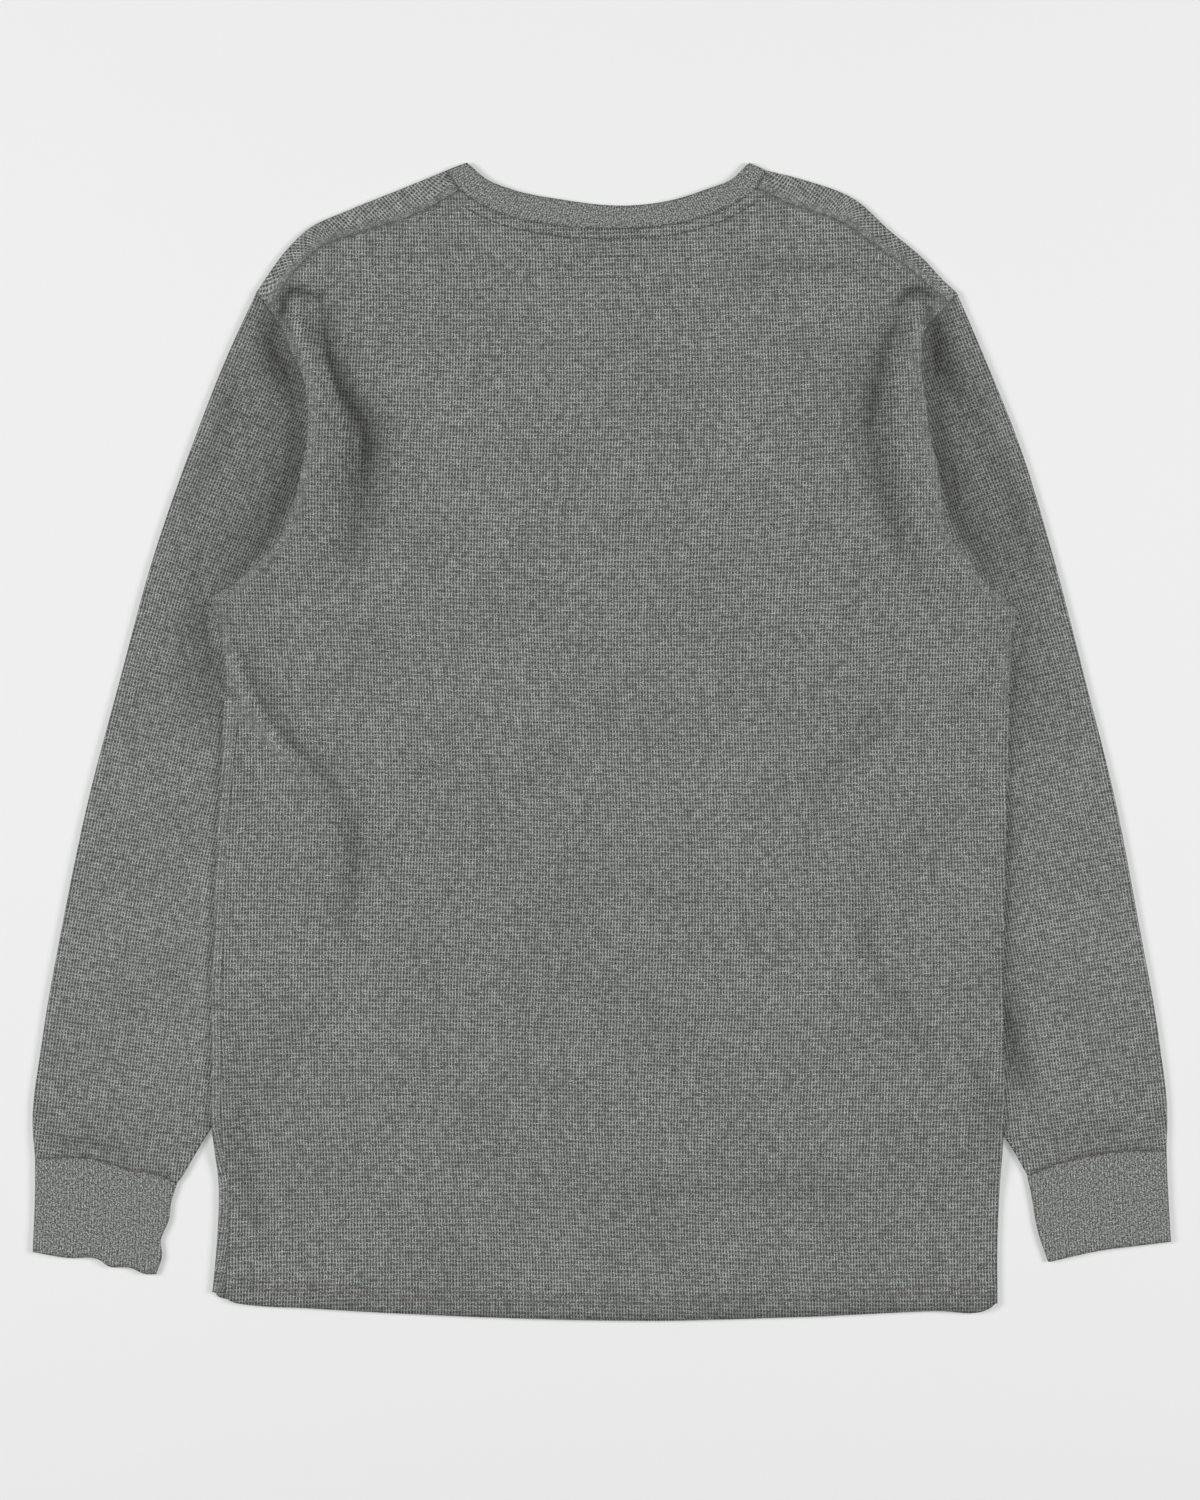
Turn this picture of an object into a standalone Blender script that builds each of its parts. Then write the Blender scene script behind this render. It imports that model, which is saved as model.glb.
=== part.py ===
"""Long-sleeved knitted thermal top, laid flat on its front with its back up.

Seven pieces are cut and sewn: back panel, front panel, two sleeves, two cuffs and a neckband.
Each is a wall of cloth. Its middle surface is made of patches: a patch blends four border curves
in plan and takes its height from the layers that lie on each other. Half-round rolls join the
lower and the upper layer at a fold.

Tables are in millimetres: x to the right as it lies, y from hem to neck, z up from the ground.
"Left" is the side at -x, which is also the wearer's left.
"""
import math
from collections import namedtuple

import bmesh
import bpy
import numpy as np

MM = 0.001

# Cloth and layers
WALL = 1.4                    # thickness of the knit
SEAM_GAP = 0.3                # between two pieces at a seam
PAIR = 2.2                    # from the middle of a folded layer to the middle of the one on it
GROUND = WALL / 2             # middle of a layer that lies on the ground
UPPER = GROUND + PAIR         # middle of the layer on it
FOLD = PAIR / 2 + WALL / 2    # a fold's edge stands this far outside its layers' border
LIFT = PAIR + WALL + SEAM_GAP  # rise of the body where a sleeve lies beneath it
SLEEVE_MARGIN = 20            # the body is still fully lifted this far beyond the sleeve's edge
SLEEVE_RAMP = 30              # and comes down to the ground over this width
TUCK = 4                      # a sleeve's edge lies this far under the body below the armpit
SIDE_TURN = 12                # how far the back panel turns under the right side

# How finely the pieces are divided
SIDE_ROWS = 16                # up each side of the body, to below the armpit
SIDE_COLUMNS = 7              # across each shoulder
EDGE_COLUMN = 17              # width of the outermost one
NECK_COLUMNS = 6              # across the neck, on the body and on the neckband
SLEEVE_COLUMNS = 6            # across a sleeve and its cuff
CUFF_ROWS = 4
ROLL_STEPS = 3                # around a fold

Point = namedtuple("Point", "x y")
Shoulder = namedtuple("Shoulder", "x y strip")          # strip: front cloth turned over the fold
Armhole = namedtuple("Armhole", "x y rise reach flank lap drop")
Side = namedtuple("Side", "y left right turn")          # turn: front cloth over the left edge
Hem = namedtuple("Hem", "x y")
Fold = namedtuple("Fold", "x1 y1 x2 y2 x3 y3 width height")

# Side edges of the body from the hem to below the armpits
BODY_SIDES = [
    Side(-371, -261, 266, 9), Side(-340, -258, 266, 8), Side(-300, -256.5, 267.5, 6),
    Side(-258, -261, 270, 6.5), Side(-215, -261, 270.5, 7), Side(-170, -261, 270, 7),
    Side(-125, -259.5, 270, 7), Side(-80, -258, 271, 7), Side(-40, -256, 272, 7.5),
    Side(-7, -254, 273, 9), Side(30, -252.5, 273.5, 12),
]
# The free stretch of edge between there and the armpit, with a sleeve tucked under it
FREE_SIDES = [Side(37, -252, 274, 0), Side(60, -253, 275, 0), Side(78, -257, 278, 0)]

# Armhole seams from the armpit up to the shoulder seam. rise: height of the body's edge above its
# flat level; reach: how far in the raised cloth goes; flank: the width over which it comes down;
# lap: how far the sleeve goes under the body's edge; drop: how much lower than that edge it lies.
LEFT_ARMHOLE = [
    Armhole(-261, 97, 4.0, 80, 60, 3, 1.7), Armhole(-250, 103, 4.2, 76, 50, 3, 1.7),
    Armhole(-232, 117, 4.6, 62, 38, 3, 1.7), Armhole(-214, 137, 5.0, 52, 30, 3, 1.7),
    Armhole(-205, 160, 5.4, 44, 24, 3, 1.7), Armhole(-200, 182, 5.6, 40, 22, 3, 1.7),
    Armhole(-196, 205, 5.6, 38, 20, 3, 1.7), Armhole(-196, 225, 5.6, 32, 18, 3, 1.7),
    Armhole(-199, 244, 5.2, 27, 16, 1.5, 2.2), Armhole(-207, 261, 4.2, 26, 16, -0.3, 2.2),
    Armhole(-213, 276, 2.2, 24, 15, -0.3, 1), Armhole(-223, 290, 0.6, 16, 12, -0.3, 0),
]
RIGHT_ARMHOLE = [
    Armhole(279, 88, 4.0, 80, 60, 3, 1.7), Armhole(272.5, 95, 4.0, 72, 50, 3, 1.7),
    Armhole(259, 104, 4.2, 60, 40, 3, 1.7), Armhole(245, 123, 4.4, 46, 30, 3, 1.7),
    Armhole(233.5, 137, 4.6, 36, 26, 3, 1.7), Armhole(228.5, 155, 4.8, 35, 24, 3, 1.7),
    Armhole(225.5, 179, 4.8, 34, 24, 3, 1.7), Armhole(220, 203, 4.8, 32, 22, 3, 1.7),
    Armhole(217, 227, 4.6, 29, 20, 1.5, 2.2), Armhole(213.5, 252, 4.0, 24, 16, -0.3, 2.2),
    Armhole(217, 275.5, 2.0, 22, 14, -0.3, 1), Armhole(234, 294.4, 0.4, 14, 10, -0.3, 0),
]

# Shoulder folds from the shoulder point to the neckband
LEFT_SHOULDER = [
    Shoulder(-231, 302, 13), Shoulder(-222, 315.5, 12.5), Shoulder(-211, 330, 14),
    Shoulder(-197, 343.5, 14.5), Shoulder(-168.5, 357, 17), Shoulder(-135, 370.5, 19.5),
    Shoulder(-104, 383.2, 18),
]
RIGHT_SHOULDER = [
    Shoulder(239, 300.5, 8.5), Shoulder(229, 310, 9), Shoulder(217, 323, 11),
    Shoulder(193, 343.5, 14), Shoulder(171, 363.5, 18), Shoulder(136, 377, 18.5),
    Shoulder(111, 383.2, 17),
]

# Hem, from left to right
HEM = [
    Hem(-261, -371), Hem(-256, -374.5), Hem(-246, -376.5), Hem(-190, -380.5), Hem(-81, -386),
    Hem(33, -388.5), Hem(134, -386), Hem(226, -382), Hem(258, -381.5), Hem(266, -377),
]
FRONT_HEM_SHORTER = 1.5       # the hidden front hem stays inside the back one

# Neckband: its seam and its free edge on the back, then the drop of the front half
NECK_SEAM = [
    Point(-104, 383.2), Point(-95, 370.5), Point(-75, 357.5), Point(-35, 347), Point(10, 344.2),
    Point(53, 348), Point(86.5, 359.5), Point(105, 372.5), Point(111, 383.2),
]
NECK_EDGE = [
    Point(-90, 388.5), Point(-76.5, 377), Point(-60.5, 370.5), Point(-28, 363.7), Point(20, 359.5),
    Point(48, 363.2), Point(71, 370.5), Point(87.5, 377), Point(99.4, 388.5),
]
NECK_REACH = Point(-94.5, 104.5)  # the shoulder seams meet the band's seam at these two x
FRONT_DROP = 100              # from the neck points down to the front band's free edge
FRONT_SEAM_DROP = 111         # from the band's seam ends down to the lowest point of its seam
NECK_FOOT = Point(-118, 122)  # the columns below the neck spread out to these two x at the hem

# Outer folds of the sleeves, from the shoulder point to the cuff
LEFT_OUTER = [
    Point(-231, 302), Point(-252, 256), Point(-273, 202.5), Point(-301, 122), Point(-323, 41),
    Point(-344, -39), Point(-361, -120), Point(-375, -200), Point(-381.5, -259),
    Point(-379.8, -280),
]
RIGHT_OUTER = [
    Point(239, 300.5), Point(258, 256), Point(279.5, 202.5), Point(304, 122), Point(325, 41),
    Point(345, -39), Point(360.5, -120), Point(374.5, -200), Point(380, -250), Point(379.5, -275),
]
# Inner folds of the sleeves, hidden under the body down to where they come out near the cuffs
LEFT_INNER = [
    Point(-242, 33), Point(-221, 4), Point(-190, -24.5), Point(-172, -50), Point(-170, -86),
    Point(-179, -123), Point(-203, -165), Point(-237, -215), Point(-262.5, -258),
    Point(-276, -280), Point(-286, -297),
]
RIGHT_INNER = [
    Point(258, 36), Point(236, 8), Point(204, -18), Point(180, -45), Point(176, -86),
    Point(184, -123), Point(203, -160), Point(232, -210), Point(260, -248), Point(277.5, -273),
    Point(288, -291),
]
SLANT_TOP = 0.42              # a sleeve's rows fall towards the body: by this much at the shoulder
SLANT_LOW = 0.17              # and by this much from the armpit down

# Cuffs: seam, free edge, outer and inner sides
LEFT_CUFF_SEAM = [
    Point(-379.8, -280), Point(-340, -280), Point(-318, -286.5), Point(-290, -291),
    Point(-284.5, -298),
]
LEFT_CUFF_END = [
    Point(-381, -343), Point(-361, -344.7), Point(-338, -347), Point(-313, -352.5),
    Point(-298.5, -357),
]
LEFT_CUFF_OUTER = [Point(-379.8, -280), Point(-380, -307), Point(-381.5, -343)]
LEFT_CUFF_INNER = [Point(-284.5, -298), Point(-289, -312), Point(-294.5, -340), Point(-298, -357)]
RIGHT_CUFF_SEAM = [
    Point(286, -291.5), Point(306, -283.5), Point(331, -277.5), Point(352, -275),
    Point(379.5, -275),
]
RIGHT_CUFF_END = [
    Point(301, -349), Point(319.5, -344.5), Point(335, -341.3), Point(360.5, -338),
    Point(382, -335.5),
]
RIGHT_CUFF_OUTER = [Point(379.5, -275), Point(380.5, -300), Point(382.5, -335.5)]
RIGHT_CUFF_INNER = [Point(286, -291.5), Point(288.5, -303), Point(293, -328), Point(300, -349)]

# Largest folds: a line through three points, its half width and its height at the middle
BODY_FOLDS = [
    Fold(191, 120, 197, 41, 140, -33, 24, 0.8), Fold(190, -140, 208, -180, 228, -214, 20, 0.8),
]
SLEEVE_FOLDS = [
    Fold(-236, 240, -250, 195, -282, 110, 16, 2.6), Fold(-332, -30, -330, -120, -338, -220, 24, 1.6),
    Fold(246, 240, 260, 195, 288, 110, 16, 2.4), Fold(332, -20, 334, -120, 336, -210, 24, 1.6),
]
FOLD_CLEAR = 16               # sleeve folds die out over this distance from the body's edge

# Knit colours, linear: heather grey
BODY_GREY = (0.19, 0.197, 0.19)
SLEEVE_GREY = (0.194, 0.2, 0.194)
RIB_GREY = (0.208, 0.215, 0.208)
KNIT_ROUGHNESS = 0.95


def smooth_step(t):
    """0 below 0, 1 above 1, and a smooth rise between."""
    t = np.clip(t, 0.0, 1.0)
    return t * t * (3 - 2 * t)


def xy(rows):
    """The x and y columns of a table as an array of points."""
    return np.array([(row.x, row.y) for row in rows], float)


def column(rows, name):
    """One column of a table."""
    return np.array([getattr(row, name) for row in rows], float)


def curve(points, fractions):
    """Smooth curve through the points, read at these fractions of its length.

    Between two points it is a cubic whose slope at each point is that of the line through its
    neighbours. It is sampled finely, and the samples are spaced again by length.
    """
    points = np.asarray(points, float)
    gaps = np.linalg.norm(np.diff(points, axis=0), axis=1)
    at = np.concatenate([[0], np.cumsum(gaps)])
    slopes = np.gradient(points, at, axis=0)
    fine = np.unique(np.concatenate([np.linspace(0, at[-1], 400), at]))
    left = np.clip(np.searchsorted(at, fine, side="right") - 1, 0, len(gaps) - 1)
    step = gaps[left][:, None]
    t = ((fine - at[left]) / gaps[left])[:, None]
    path = (
        (2 * t**3 - 3 * t**2 + 1) * points[left] + (t**3 - 2 * t**2 + t) * step * slopes[left]
        + (3 * t**2 - 2 * t**3) * points[left + 1] + (t**3 - t**2) * step * slopes[left + 1]
    )
    run = along(path) * np.linalg.norm(np.diff(path, axis=0), axis=1).sum()
    want = np.asarray(fractions) * run[-1]
    return np.stack([np.interp(want, run, path[:, k]) for k in (0, 1)], axis=1)


def even(count):
    """Evenly spaced fractions from 0 to 1."""
    return np.linspace(0, 1, count + 1)


def height_at(rows, x):
    """y of a left-to-right table at these x, on its smooth curve."""
    path = curve(xy(rows), even(200))
    return np.interp(x, path[:, 0], path[:, 1])


def along(border):
    """Fractions of the way along a border, by length."""
    run = np.concatenate([[0], np.cumsum(np.linalg.norm(np.diff(border, axis=0), axis=1))])
    return run / run[-1]


def normals(border):
    """Unit vectors square to a border, to the right of its direction."""
    run = np.gradient(border, axis=0)
    run /= np.linalg.norm(run, axis=1)[:, None]
    return np.stack([run[:, 1], -run[:, 0]], axis=1)


def distance(plan, line):
    """Distance of each plan point from a line of points."""
    start, run = line[:-1], np.diff(line, axis=0)
    away = plan[..., None, :] - start
    t = np.clip((away * run).sum(-1) / (run * run).sum(-1), 0, 1)
    return np.linalg.norm(away - t[..., None] * run, axis=-1).min(-1)


def fold_height(plan, folds):
    """Soft ridges: along each fold's arc the height grows and fades, and across it falls away."""
    total = np.zeros(plan.shape[:-1])
    for fold in folds:
        ends = [(fold.x1, fold.y1), (fold.x2, fold.y2), (fold.x3, fold.y3)]
        line = curve(ends, even(24))
        gaps = np.linalg.norm(plan[..., None, :] - line, axis=-1)
        way = gaps.argmin(-1) / 24
        near = np.exp(-((gaps.min(-1) / fold.width) ** 2))
        total += fold.height * near * np.sin(math.pi * (0.1 + 0.8 * way))
    return total


def armhole(side):
    return LEFT_ARMHOLE if side < 0 else RIGHT_ARMHOLE


def edge_line(side):
    """The body's edge on one side as points from hem to shoulder: side, then armhole."""
    name = "left" if side < 0 else "right"
    y = np.linspace(BODY_SIDES[0].y, BODY_SIDES[-1].y, SIDE_ROWS)
    low = np.stack([np.interp(y, column(BODY_SIDES, "y"), column(BODY_SIDES, name)), y], axis=1)
    free = np.stack([column(FREE_SIDES, name), column(FREE_SIDES, "y")], axis=1)
    return np.concatenate([low, free, xy(armhole(side))])


def by_row(low, free, arm):
    """One value for each row of the body: along the sides, the free edge and the armholes."""
    return np.concatenate([
        np.broadcast_to(low, SIDE_ROWS), np.broadcast_to(free, len(FREE_SIDES)),
        np.broadcast_to(arm, len(LEFT_ARMHOLE)),
    ])


def side_turn():
    """Width of the front cloth turned over the left side, row by row."""
    y = np.linspace(BODY_SIDES[0].y, BODY_SIDES[-1].y, SIDE_ROWS)
    return np.interp(y, column(BODY_SIDES, "y"), column(BODY_SIDES, "turn"))


def sleeve_lift(plan):
    """0 to 1: how much the body is lifted by the sleeves that lie under it."""
    lift = np.zeros(plan.shape[:-1])
    for side, inner in ((-1, LEFT_INNER), (1, RIGHT_INNER)):
        start = edge_line(side)[SIDE_ROWS + 1] - [side * TUCK, 0]
        line = np.concatenate([[start], xy(inner)])
        border = np.interp(plan[..., 1], line[::-1, 1], line[::-1, 0])
        inside = (side * (plan[..., 0] - border) > 0) & (plan[..., 1] < start[1])
        away = distance(plan, line) * np.where(inside, -1, 1)
        lift = np.maximum(lift, smooth_step(1 - (away - SLEEVE_MARGIN) / SLEEVE_RAMP))
    return lift


def armhole_rise(plan):
    """Height of the cloth that stands up along the armholes, above the flat back.

    It is level from the edge inwards, and comes down over the flank. Beyond both ends of an
    armhole it fades out.
    """
    total = np.zeros(plan.shape[:-1])
    for side in (-1, 1):
        rows, edge = armhole(side), edge_line(side)
        y = np.concatenate([[rows[0].y - 50], column(rows, "y"), [rows[-1].y + 14]])
        rise = np.interp(plan[..., 1], y, np.pad(column(rows, "rise"), 1))
        reach = np.interp(plan[..., 1], y, np.pad(column(rows, "reach"), 1, mode="edge"))
        flank = np.interp(plan[..., 1], y, np.pad(column(rows, "flank"), 1, mode="edge"))
        inward = side * (np.interp(plan[..., 1], edge[:, 1], edge[:, 0]) - plan[..., 0])
        total += rise * (1 - smooth_step((inward - (reach - flank)) / flank))
    return total


def body_low(plan):
    """Middle height of the body's lower layer: on the ground, or on the sleeves."""
    return GROUND + LIFT * sleeve_lift(plan)


def body_top(plan):
    """Middle height of the body's upper layer. The greater of sleeve and armhole raises it."""
    raised = ((LIFT * sleeve_lift(plan)) ** 4 + armhole_rise(plan) ** 4) ** 0.25
    return UPPER + raised + fold_height(plan, BODY_FOLDS)


def solid(plan, height):
    """Puts a height on plan points."""
    return np.concatenate([plan, np.broadcast_to(height, plan.shape[:-1])[..., None]], axis=-1)


def roll(border, outward, low, high):
    """Half-round turn outside a border, from height low to height high."""
    turn = np.linspace(0, math.pi, ROLL_STEPS + 1)[:, None]
    radius = (high - low) / 2
    plan = border + outward * (radius * np.sin(turn))[..., None]
    return solid(plan, low + radius * (1 - np.cos(turn)))


def cloth(name, patches, colour):
    """Object whose wall has these patches as its middle surface, joined where they meet."""
    points, faces = [], []
    for patch in patches:
        rows, columns = patch.shape[:2]
        index = np.arange(rows * columns).reshape(rows, columns) + sum(map(len, points))
        quads = [index[:-1, :-1], index[:-1, 1:], index[1:, 1:], index[1:, :-1]]
        faces += np.stack(quads, axis=-1).reshape(-1, 4).tolist()
        points.append(patch.reshape(-1, 3) * MM)
    mesh = bpy.data.meshes.new(name)
    mesh.from_pydata(np.concatenate(points).tolist(), [], faces)
    shape = bmesh.new()
    shape.from_mesh(mesh)
    bmesh.ops.remove_doubles(shape, verts=shape.verts, dist=0.02 * MM)
    bmesh.ops.recalc_face_normals(shape, faces=shape.faces)
    shape.to_mesh(mesh)
    shape.free()
    mesh.shade_smooth()
    piece = bpy.data.objects.new(name, mesh)
    bpy.context.collection.objects.link(piece)
    wall = piece.modifiers.new("wall", "SOLIDIFY")
    wall.thickness = WALL * MM
    wall.offset = 0
    material = bpy.data.materials.new(name)
    material.use_nodes = True
    shader = material.node_tree.nodes["Principled BSDF"]
    shader.inputs["Base Color"].default_value = (*colour, 1)
    shader.inputs["Roughness"].default_value = KNIT_ROUGHNESS
    shader.inputs["Metallic"].default_value = 0
    mesh.materials.append(material)
    return piece


def shoulder(side):
    """One shoulder, from its point to the neck: fold line, way inwards, and seam on the back."""
    rows = LEFT_SHOULDER if side < 0 else RIGHT_SHOULDER
    fold = curve(xy(rows), even(SIDE_COLUMNS))
    inward = normals(fold) * -side
    strip = np.interp(along(fold), along(xy(rows)), column(rows, "strip"))
    seam = fold + inward * strip[:, None]
    seam[0] = xy(armhole(side))[-1]
    seam[-1] = neck_reach()[0 if side < 0 else -1]
    for end in (0, -1):
        inward[end] = (seam[end] - fold[end]) / np.linalg.norm(seam[end] - fold[end])
    return fold, inward, seam


def neck_reach():
    """The neckband's seam across the back, as far as the back panel goes."""
    whole = curve(xy(NECK_SEAM), even(200))
    ends = [np.argmin(np.abs(whole[:, 0] - x)) for x in NECK_REACH]
    return curve(whole[ends[0]:ends[1] + 1], even(NECK_COLUMNS))


def band_seam():
    """The neckband's whole seam on the back, between the borders of its two creases."""
    ends = []
    for side in (-1, 1):
        fold, inward, _ = shoulder(side)
        ends.append(fold[-1] + inward[-1] * FOLD)
    return np.concatenate([ends[:1], neck_reach(), ends[1:]])


def front_neck(drop, left, right):
    """Neckline of the front, from left to right: a deep oval that hangs between two points."""
    turn = np.linspace(0, math.pi, NECK_COLUMNS + 1)[:, None]
    middle, half = (left + right) / 2, (right - left) / 2
    return middle - half * np.cos(turn) - [0, drop] * np.sin(turn) ** 1.5


def body_plan(top):
    """Plan of a body panel out to the body's edges, below a given top border.

    A point's x comes from its column and its y from its row. The shape of each side fades into
    the panel with the cube of the way across, that of the hem with the cube of the way up to the
    armpits, and that of the top with the square of the way down to them.
    """
    left, right = edge_line(-1), edge_line(1)
    left[-1], right[-1] = top[0], top[-1]
    x = np.concatenate([
        left[:1, 0], np.linspace(left[0, 0] + EDGE_COLUMN, NECK_FOOT.x, SIDE_COLUMNS),
        np.linspace(NECK_FOOT.x, NECK_FOOT.y, NECK_COLUMNS + 1)[1:],
        np.linspace(NECK_FOOT.y, right[0, 0] - EDGE_COLUMN, SIDE_COLUMNS)[1:], right[:1, 0],
    ])
    hem = height_at(HEM, x)
    left[0, 1], right[0, 1] = hem[0], hem[-1]
    u = (x - x[0]) / (x[-1] - x[0])
    rows = ((left + right) / 2)[:, 1]
    pit = rows[SIDE_ROWS + len(FREE_SIDES)]
    low = (np.clip((pit - rows) / (pit - rows[0]), 0, 1) ** 3)[:, None]
    high = (np.clip((rows - pit) / (rows[-1] - pit), 0, 1) ** 2)[:, None]
    base = (1 - high) * x + high * top[:, 0]
    across = (
        base + (1 - u) ** 3 * (left[:, :1] - base[:, :1]) + u ** 3 * (right[:, :1] - base[:, -1:])
    )
    line = (1 - u) * left[:, 1:] + u * right[:, 1:]
    upward = line + low * (hem - line[0]) + high * (top[:, 1] - line[-1])
    return np.stack([across, upward], axis=-1)


def neck_gap():
    """The panels' side of the neckband's seam on the back."""
    seam = band_seam()
    return seam + normals(seam) * SEAM_GAP


def back_panel():
    """Upper layer of the body. Its right side turns under; the other borders end in seams."""
    neck = neck_gap()[1:-1]
    left, right = shoulder(-1)[2], shoulder(1)[2]
    plan = body_plan(np.concatenate([left[:-1], neck, right[-2::-1]]))
    plan[:, 0, 0] += by_row(side_turn(), 0, 0)
    plan[:, -1, 0] -= by_row(FOLD, 0, 0)
    fold = plan[:SIDE_ROWS, -1]
    under = np.stack([fold, fold - [SIDE_TURN - FOLD, 0]])
    return [
        solid(plan, body_top(plan)),
        roll(fold, np.array([1.0, 0.0]), body_low(fold), body_top(fold)),
        solid(under, body_low(under)),
    ]


def front_panel():
    """Lower layer of the body. It turns up over the left side and over both shoulders."""
    neck = neck_gap()
    shoulders = {side: shoulder(side) for side in (-1, 1)}
    borders = {}
    for side, end in ((-1, 0), (1, -1)):
        fold, inward, _ = shoulders[side]
        borders[side] = fold + inward * FOLD
        borders[side][-1] = neck[end]
    oval = front_neck(FRONT_SEAM_DROP, *band_seam()[[0, -1]])
    oval += normals(oval) * SEAM_GAP
    plan = body_plan(np.concatenate([borders[-1], oval[1:-1], borders[1][::-1]]))
    free = TUCK + FOLD + 2 * SEAM_GAP
    laps = {side: column(armhole(side), "lap") + SEAM_GAP for side in (-1, 1)}
    laps[-1][-1] = laps[1][-1] = 0
    plan[:, 0, 0] += by_row(FOLD, free, laps[-1])
    plan[:, -1, 0] -= by_row(SIDE_TURN + SEAM_GAP, free, laps[1])
    plan[0, :, 1] += FRONT_HEM_SHORTER
    fold = plan[:SIDE_ROWS, 0]
    over = np.stack([fold, fold])
    over[1, :, 0] += side_turn() - FOLD - SEAM_GAP
    patches = [
        solid(plan, body_low(plan)),
        roll(fold, np.array([-1.0, 0.0]), body_low(fold), body_top(fold)),
        solid(over, body_top(over)),
    ]
    for side, end in ((-1, 1), (1, -2)):
        border, (_, inward, seam) = borders[side], shoulders[side]
        seam[-1] = neck[end]
        seam = seam - inward * SEAM_GAP
        strip = np.stack([border, (border + seam) / 2, seam])
        patches.append(roll(border, -inward, body_low(border), body_top(border)))
        patches.append(solid(strip, body_top(strip)))
    return patches


def neckband():
    """One loop: across the back on the upper layer, round two creases, and the front below."""
    seam_back = band_seam()
    edge_back = curve(xy(NECK_EDGE), along(seam_back))
    inward = {0: shoulder(-1)[1][-1], -1: shoulder(1)[1][-1]}
    for end in inward:
        edge_back[end] = xy(NECK_EDGE)[end] + inward[end] * FOLD
    seam_front = front_neck(FRONT_SEAM_DROP, seam_back[0], seam_back[-1])
    edge_front = front_neck(FRONT_DROP, edge_back[0], edge_back[-1])
    back = np.stack([seam_back, (seam_back + edge_back) / 2, edge_back])
    front = np.stack([seam_front, (seam_front + edge_front) / 2, edge_front])
    patches = [solid(back, UPPER), solid(front, GROUND)]
    for end, way in inward.items():
        patches.append(roll(back[:, end], -way, np.full(3, GROUND), np.full(3, UPPER)))
    return patches


def cuff_seam(side):
    """Nodes of a cuff's seam from the outer fold's border to the inner one's."""
    rows = LEFT_CUFF_SEAM if side < 0 else RIGHT_CUFF_SEAM
    ends = xy(rows)[[0, -1], 0] + [FOLD, -FOLD]
    x = np.linspace(*ends, SLEEVE_COLUMNS + 1)[::-side]
    return np.stack([x, height_at(rows, x)], axis=1)


def sleeve_borders(side):
    """Outer and inner borders of one sleeve in plan, row by row, from the shoulder down."""
    fold, way, seam = shoulder(side)
    square = np.array([way[0, 1], -way[0, 0]]) * -side  # from the body to the sleeve
    rows = armhole(side)[::-1]
    edge = edge_line(side)[::-1]
    rim = edge[:len(rows)] - side * np.stack([column(rows, "lap"), np.zeros(len(rows))], axis=1)
    rim[0] = seam[0] + square * SEAM_GAP
    free = edge[len(rows):len(rows) + 2] - [side * TUCK, 0]
    inner = np.concatenate([rim, free, xy(LEFT_INNER if side < 0 else RIGHT_INNER)])
    outline = curve(xy(LEFT_OUTER if side < 0 else RIGHT_OUTER), even(300))[::-1]
    slant = np.interp(inner[:, 1], [60, 290], [SLANT_LOW, SLANT_TOP])
    wide = np.abs(np.interp(inner[:, 1], outline[:, 1], outline[:, 0]) - inner[:, 0])
    y = np.maximum(inner[:, 1] + slant * wide, outline[0, 1])
    outer = np.stack([np.interp(y, outline[:, 1], outline[:, 0]) - side * FOLD, y], axis=1)
    outer[0] = fold[0] + way[0] * FOLD + square * SEAM_GAP
    end = cuff_seam(side) + [0, SEAM_GAP]
    outer[-1], inner[-1] = end[0], end[-1]
    return outer, inner, end


def blend(bottom, top, left, right):
    """Plan points of a patch between four borders that share their corners (a Coons patch).

    Each point is the mix of left and right, plus the mix of bottom and top, less the mix of the
    four corners.
    """
    u = ((along(bottom) + along(top)) / 2)[None, :, None]
    v = ((along(left) + along(right)) / 2)[:, None, None]
    across = (1 - u) * left[:, None] + u * right[:, None]
    upward = (1 - v) * bottom[None] + v * top[None]
    corners = (
        (1 - u) * (1 - v) * bottom[0] + u * (1 - v) * bottom[-1]
        + (1 - u) * v * top[0] + u * v * top[-1]
    )
    return across + upward - corners


def sleeve(side):
    """Flat tube of cloth: lower layer, upper layer, the outer fold and the fold under the arm."""
    outer, inner, end = sleeve_borders(side)
    top = outer[0] + even(SLEEVE_COLUMNS)[:, None] * (inner[0] - outer[0])
    plan = blend(end, top, outer[::-1], inner[::-1])[::-1]
    edge = edge_line(side)
    outside = side * (plan[..., 0] - np.interp(plan[..., 1], edge[:, 1], edge[:, 0])) > 0
    clear = smooth_step(distance(plan, edge) / FOLD_CLEAR) * outside
    rows = armhole(side)[::-1]
    rim = body_top(xy(rows)) - column(rows, "drop") - UPPER
    rise = np.pad(rim, (0, len(plan) - len(rim)))[:, None]
    height = UPPER + fold_height(plan, SLEEVE_FOLDS) * clear + rise * (1 - clear)
    height[:len(rows), -1] = UPPER + rim
    patches = [solid(plan, height), solid(plan[:, ::2], GROUND)]
    outward = np.tile([float(side), 0.0], (len(plan), 1))
    outward[0] = -shoulder(side)[1][0]
    low = np.full(len(plan), GROUND)
    patches.append(roll(plan[:, 0], outward, low, height[:, 0]))
    closed = slice(len(rows), None)
    patches.append(roll(plan[closed, -1], np.array([-side, 0.0]), low[closed], height[closed, -1]))
    return patches


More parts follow.
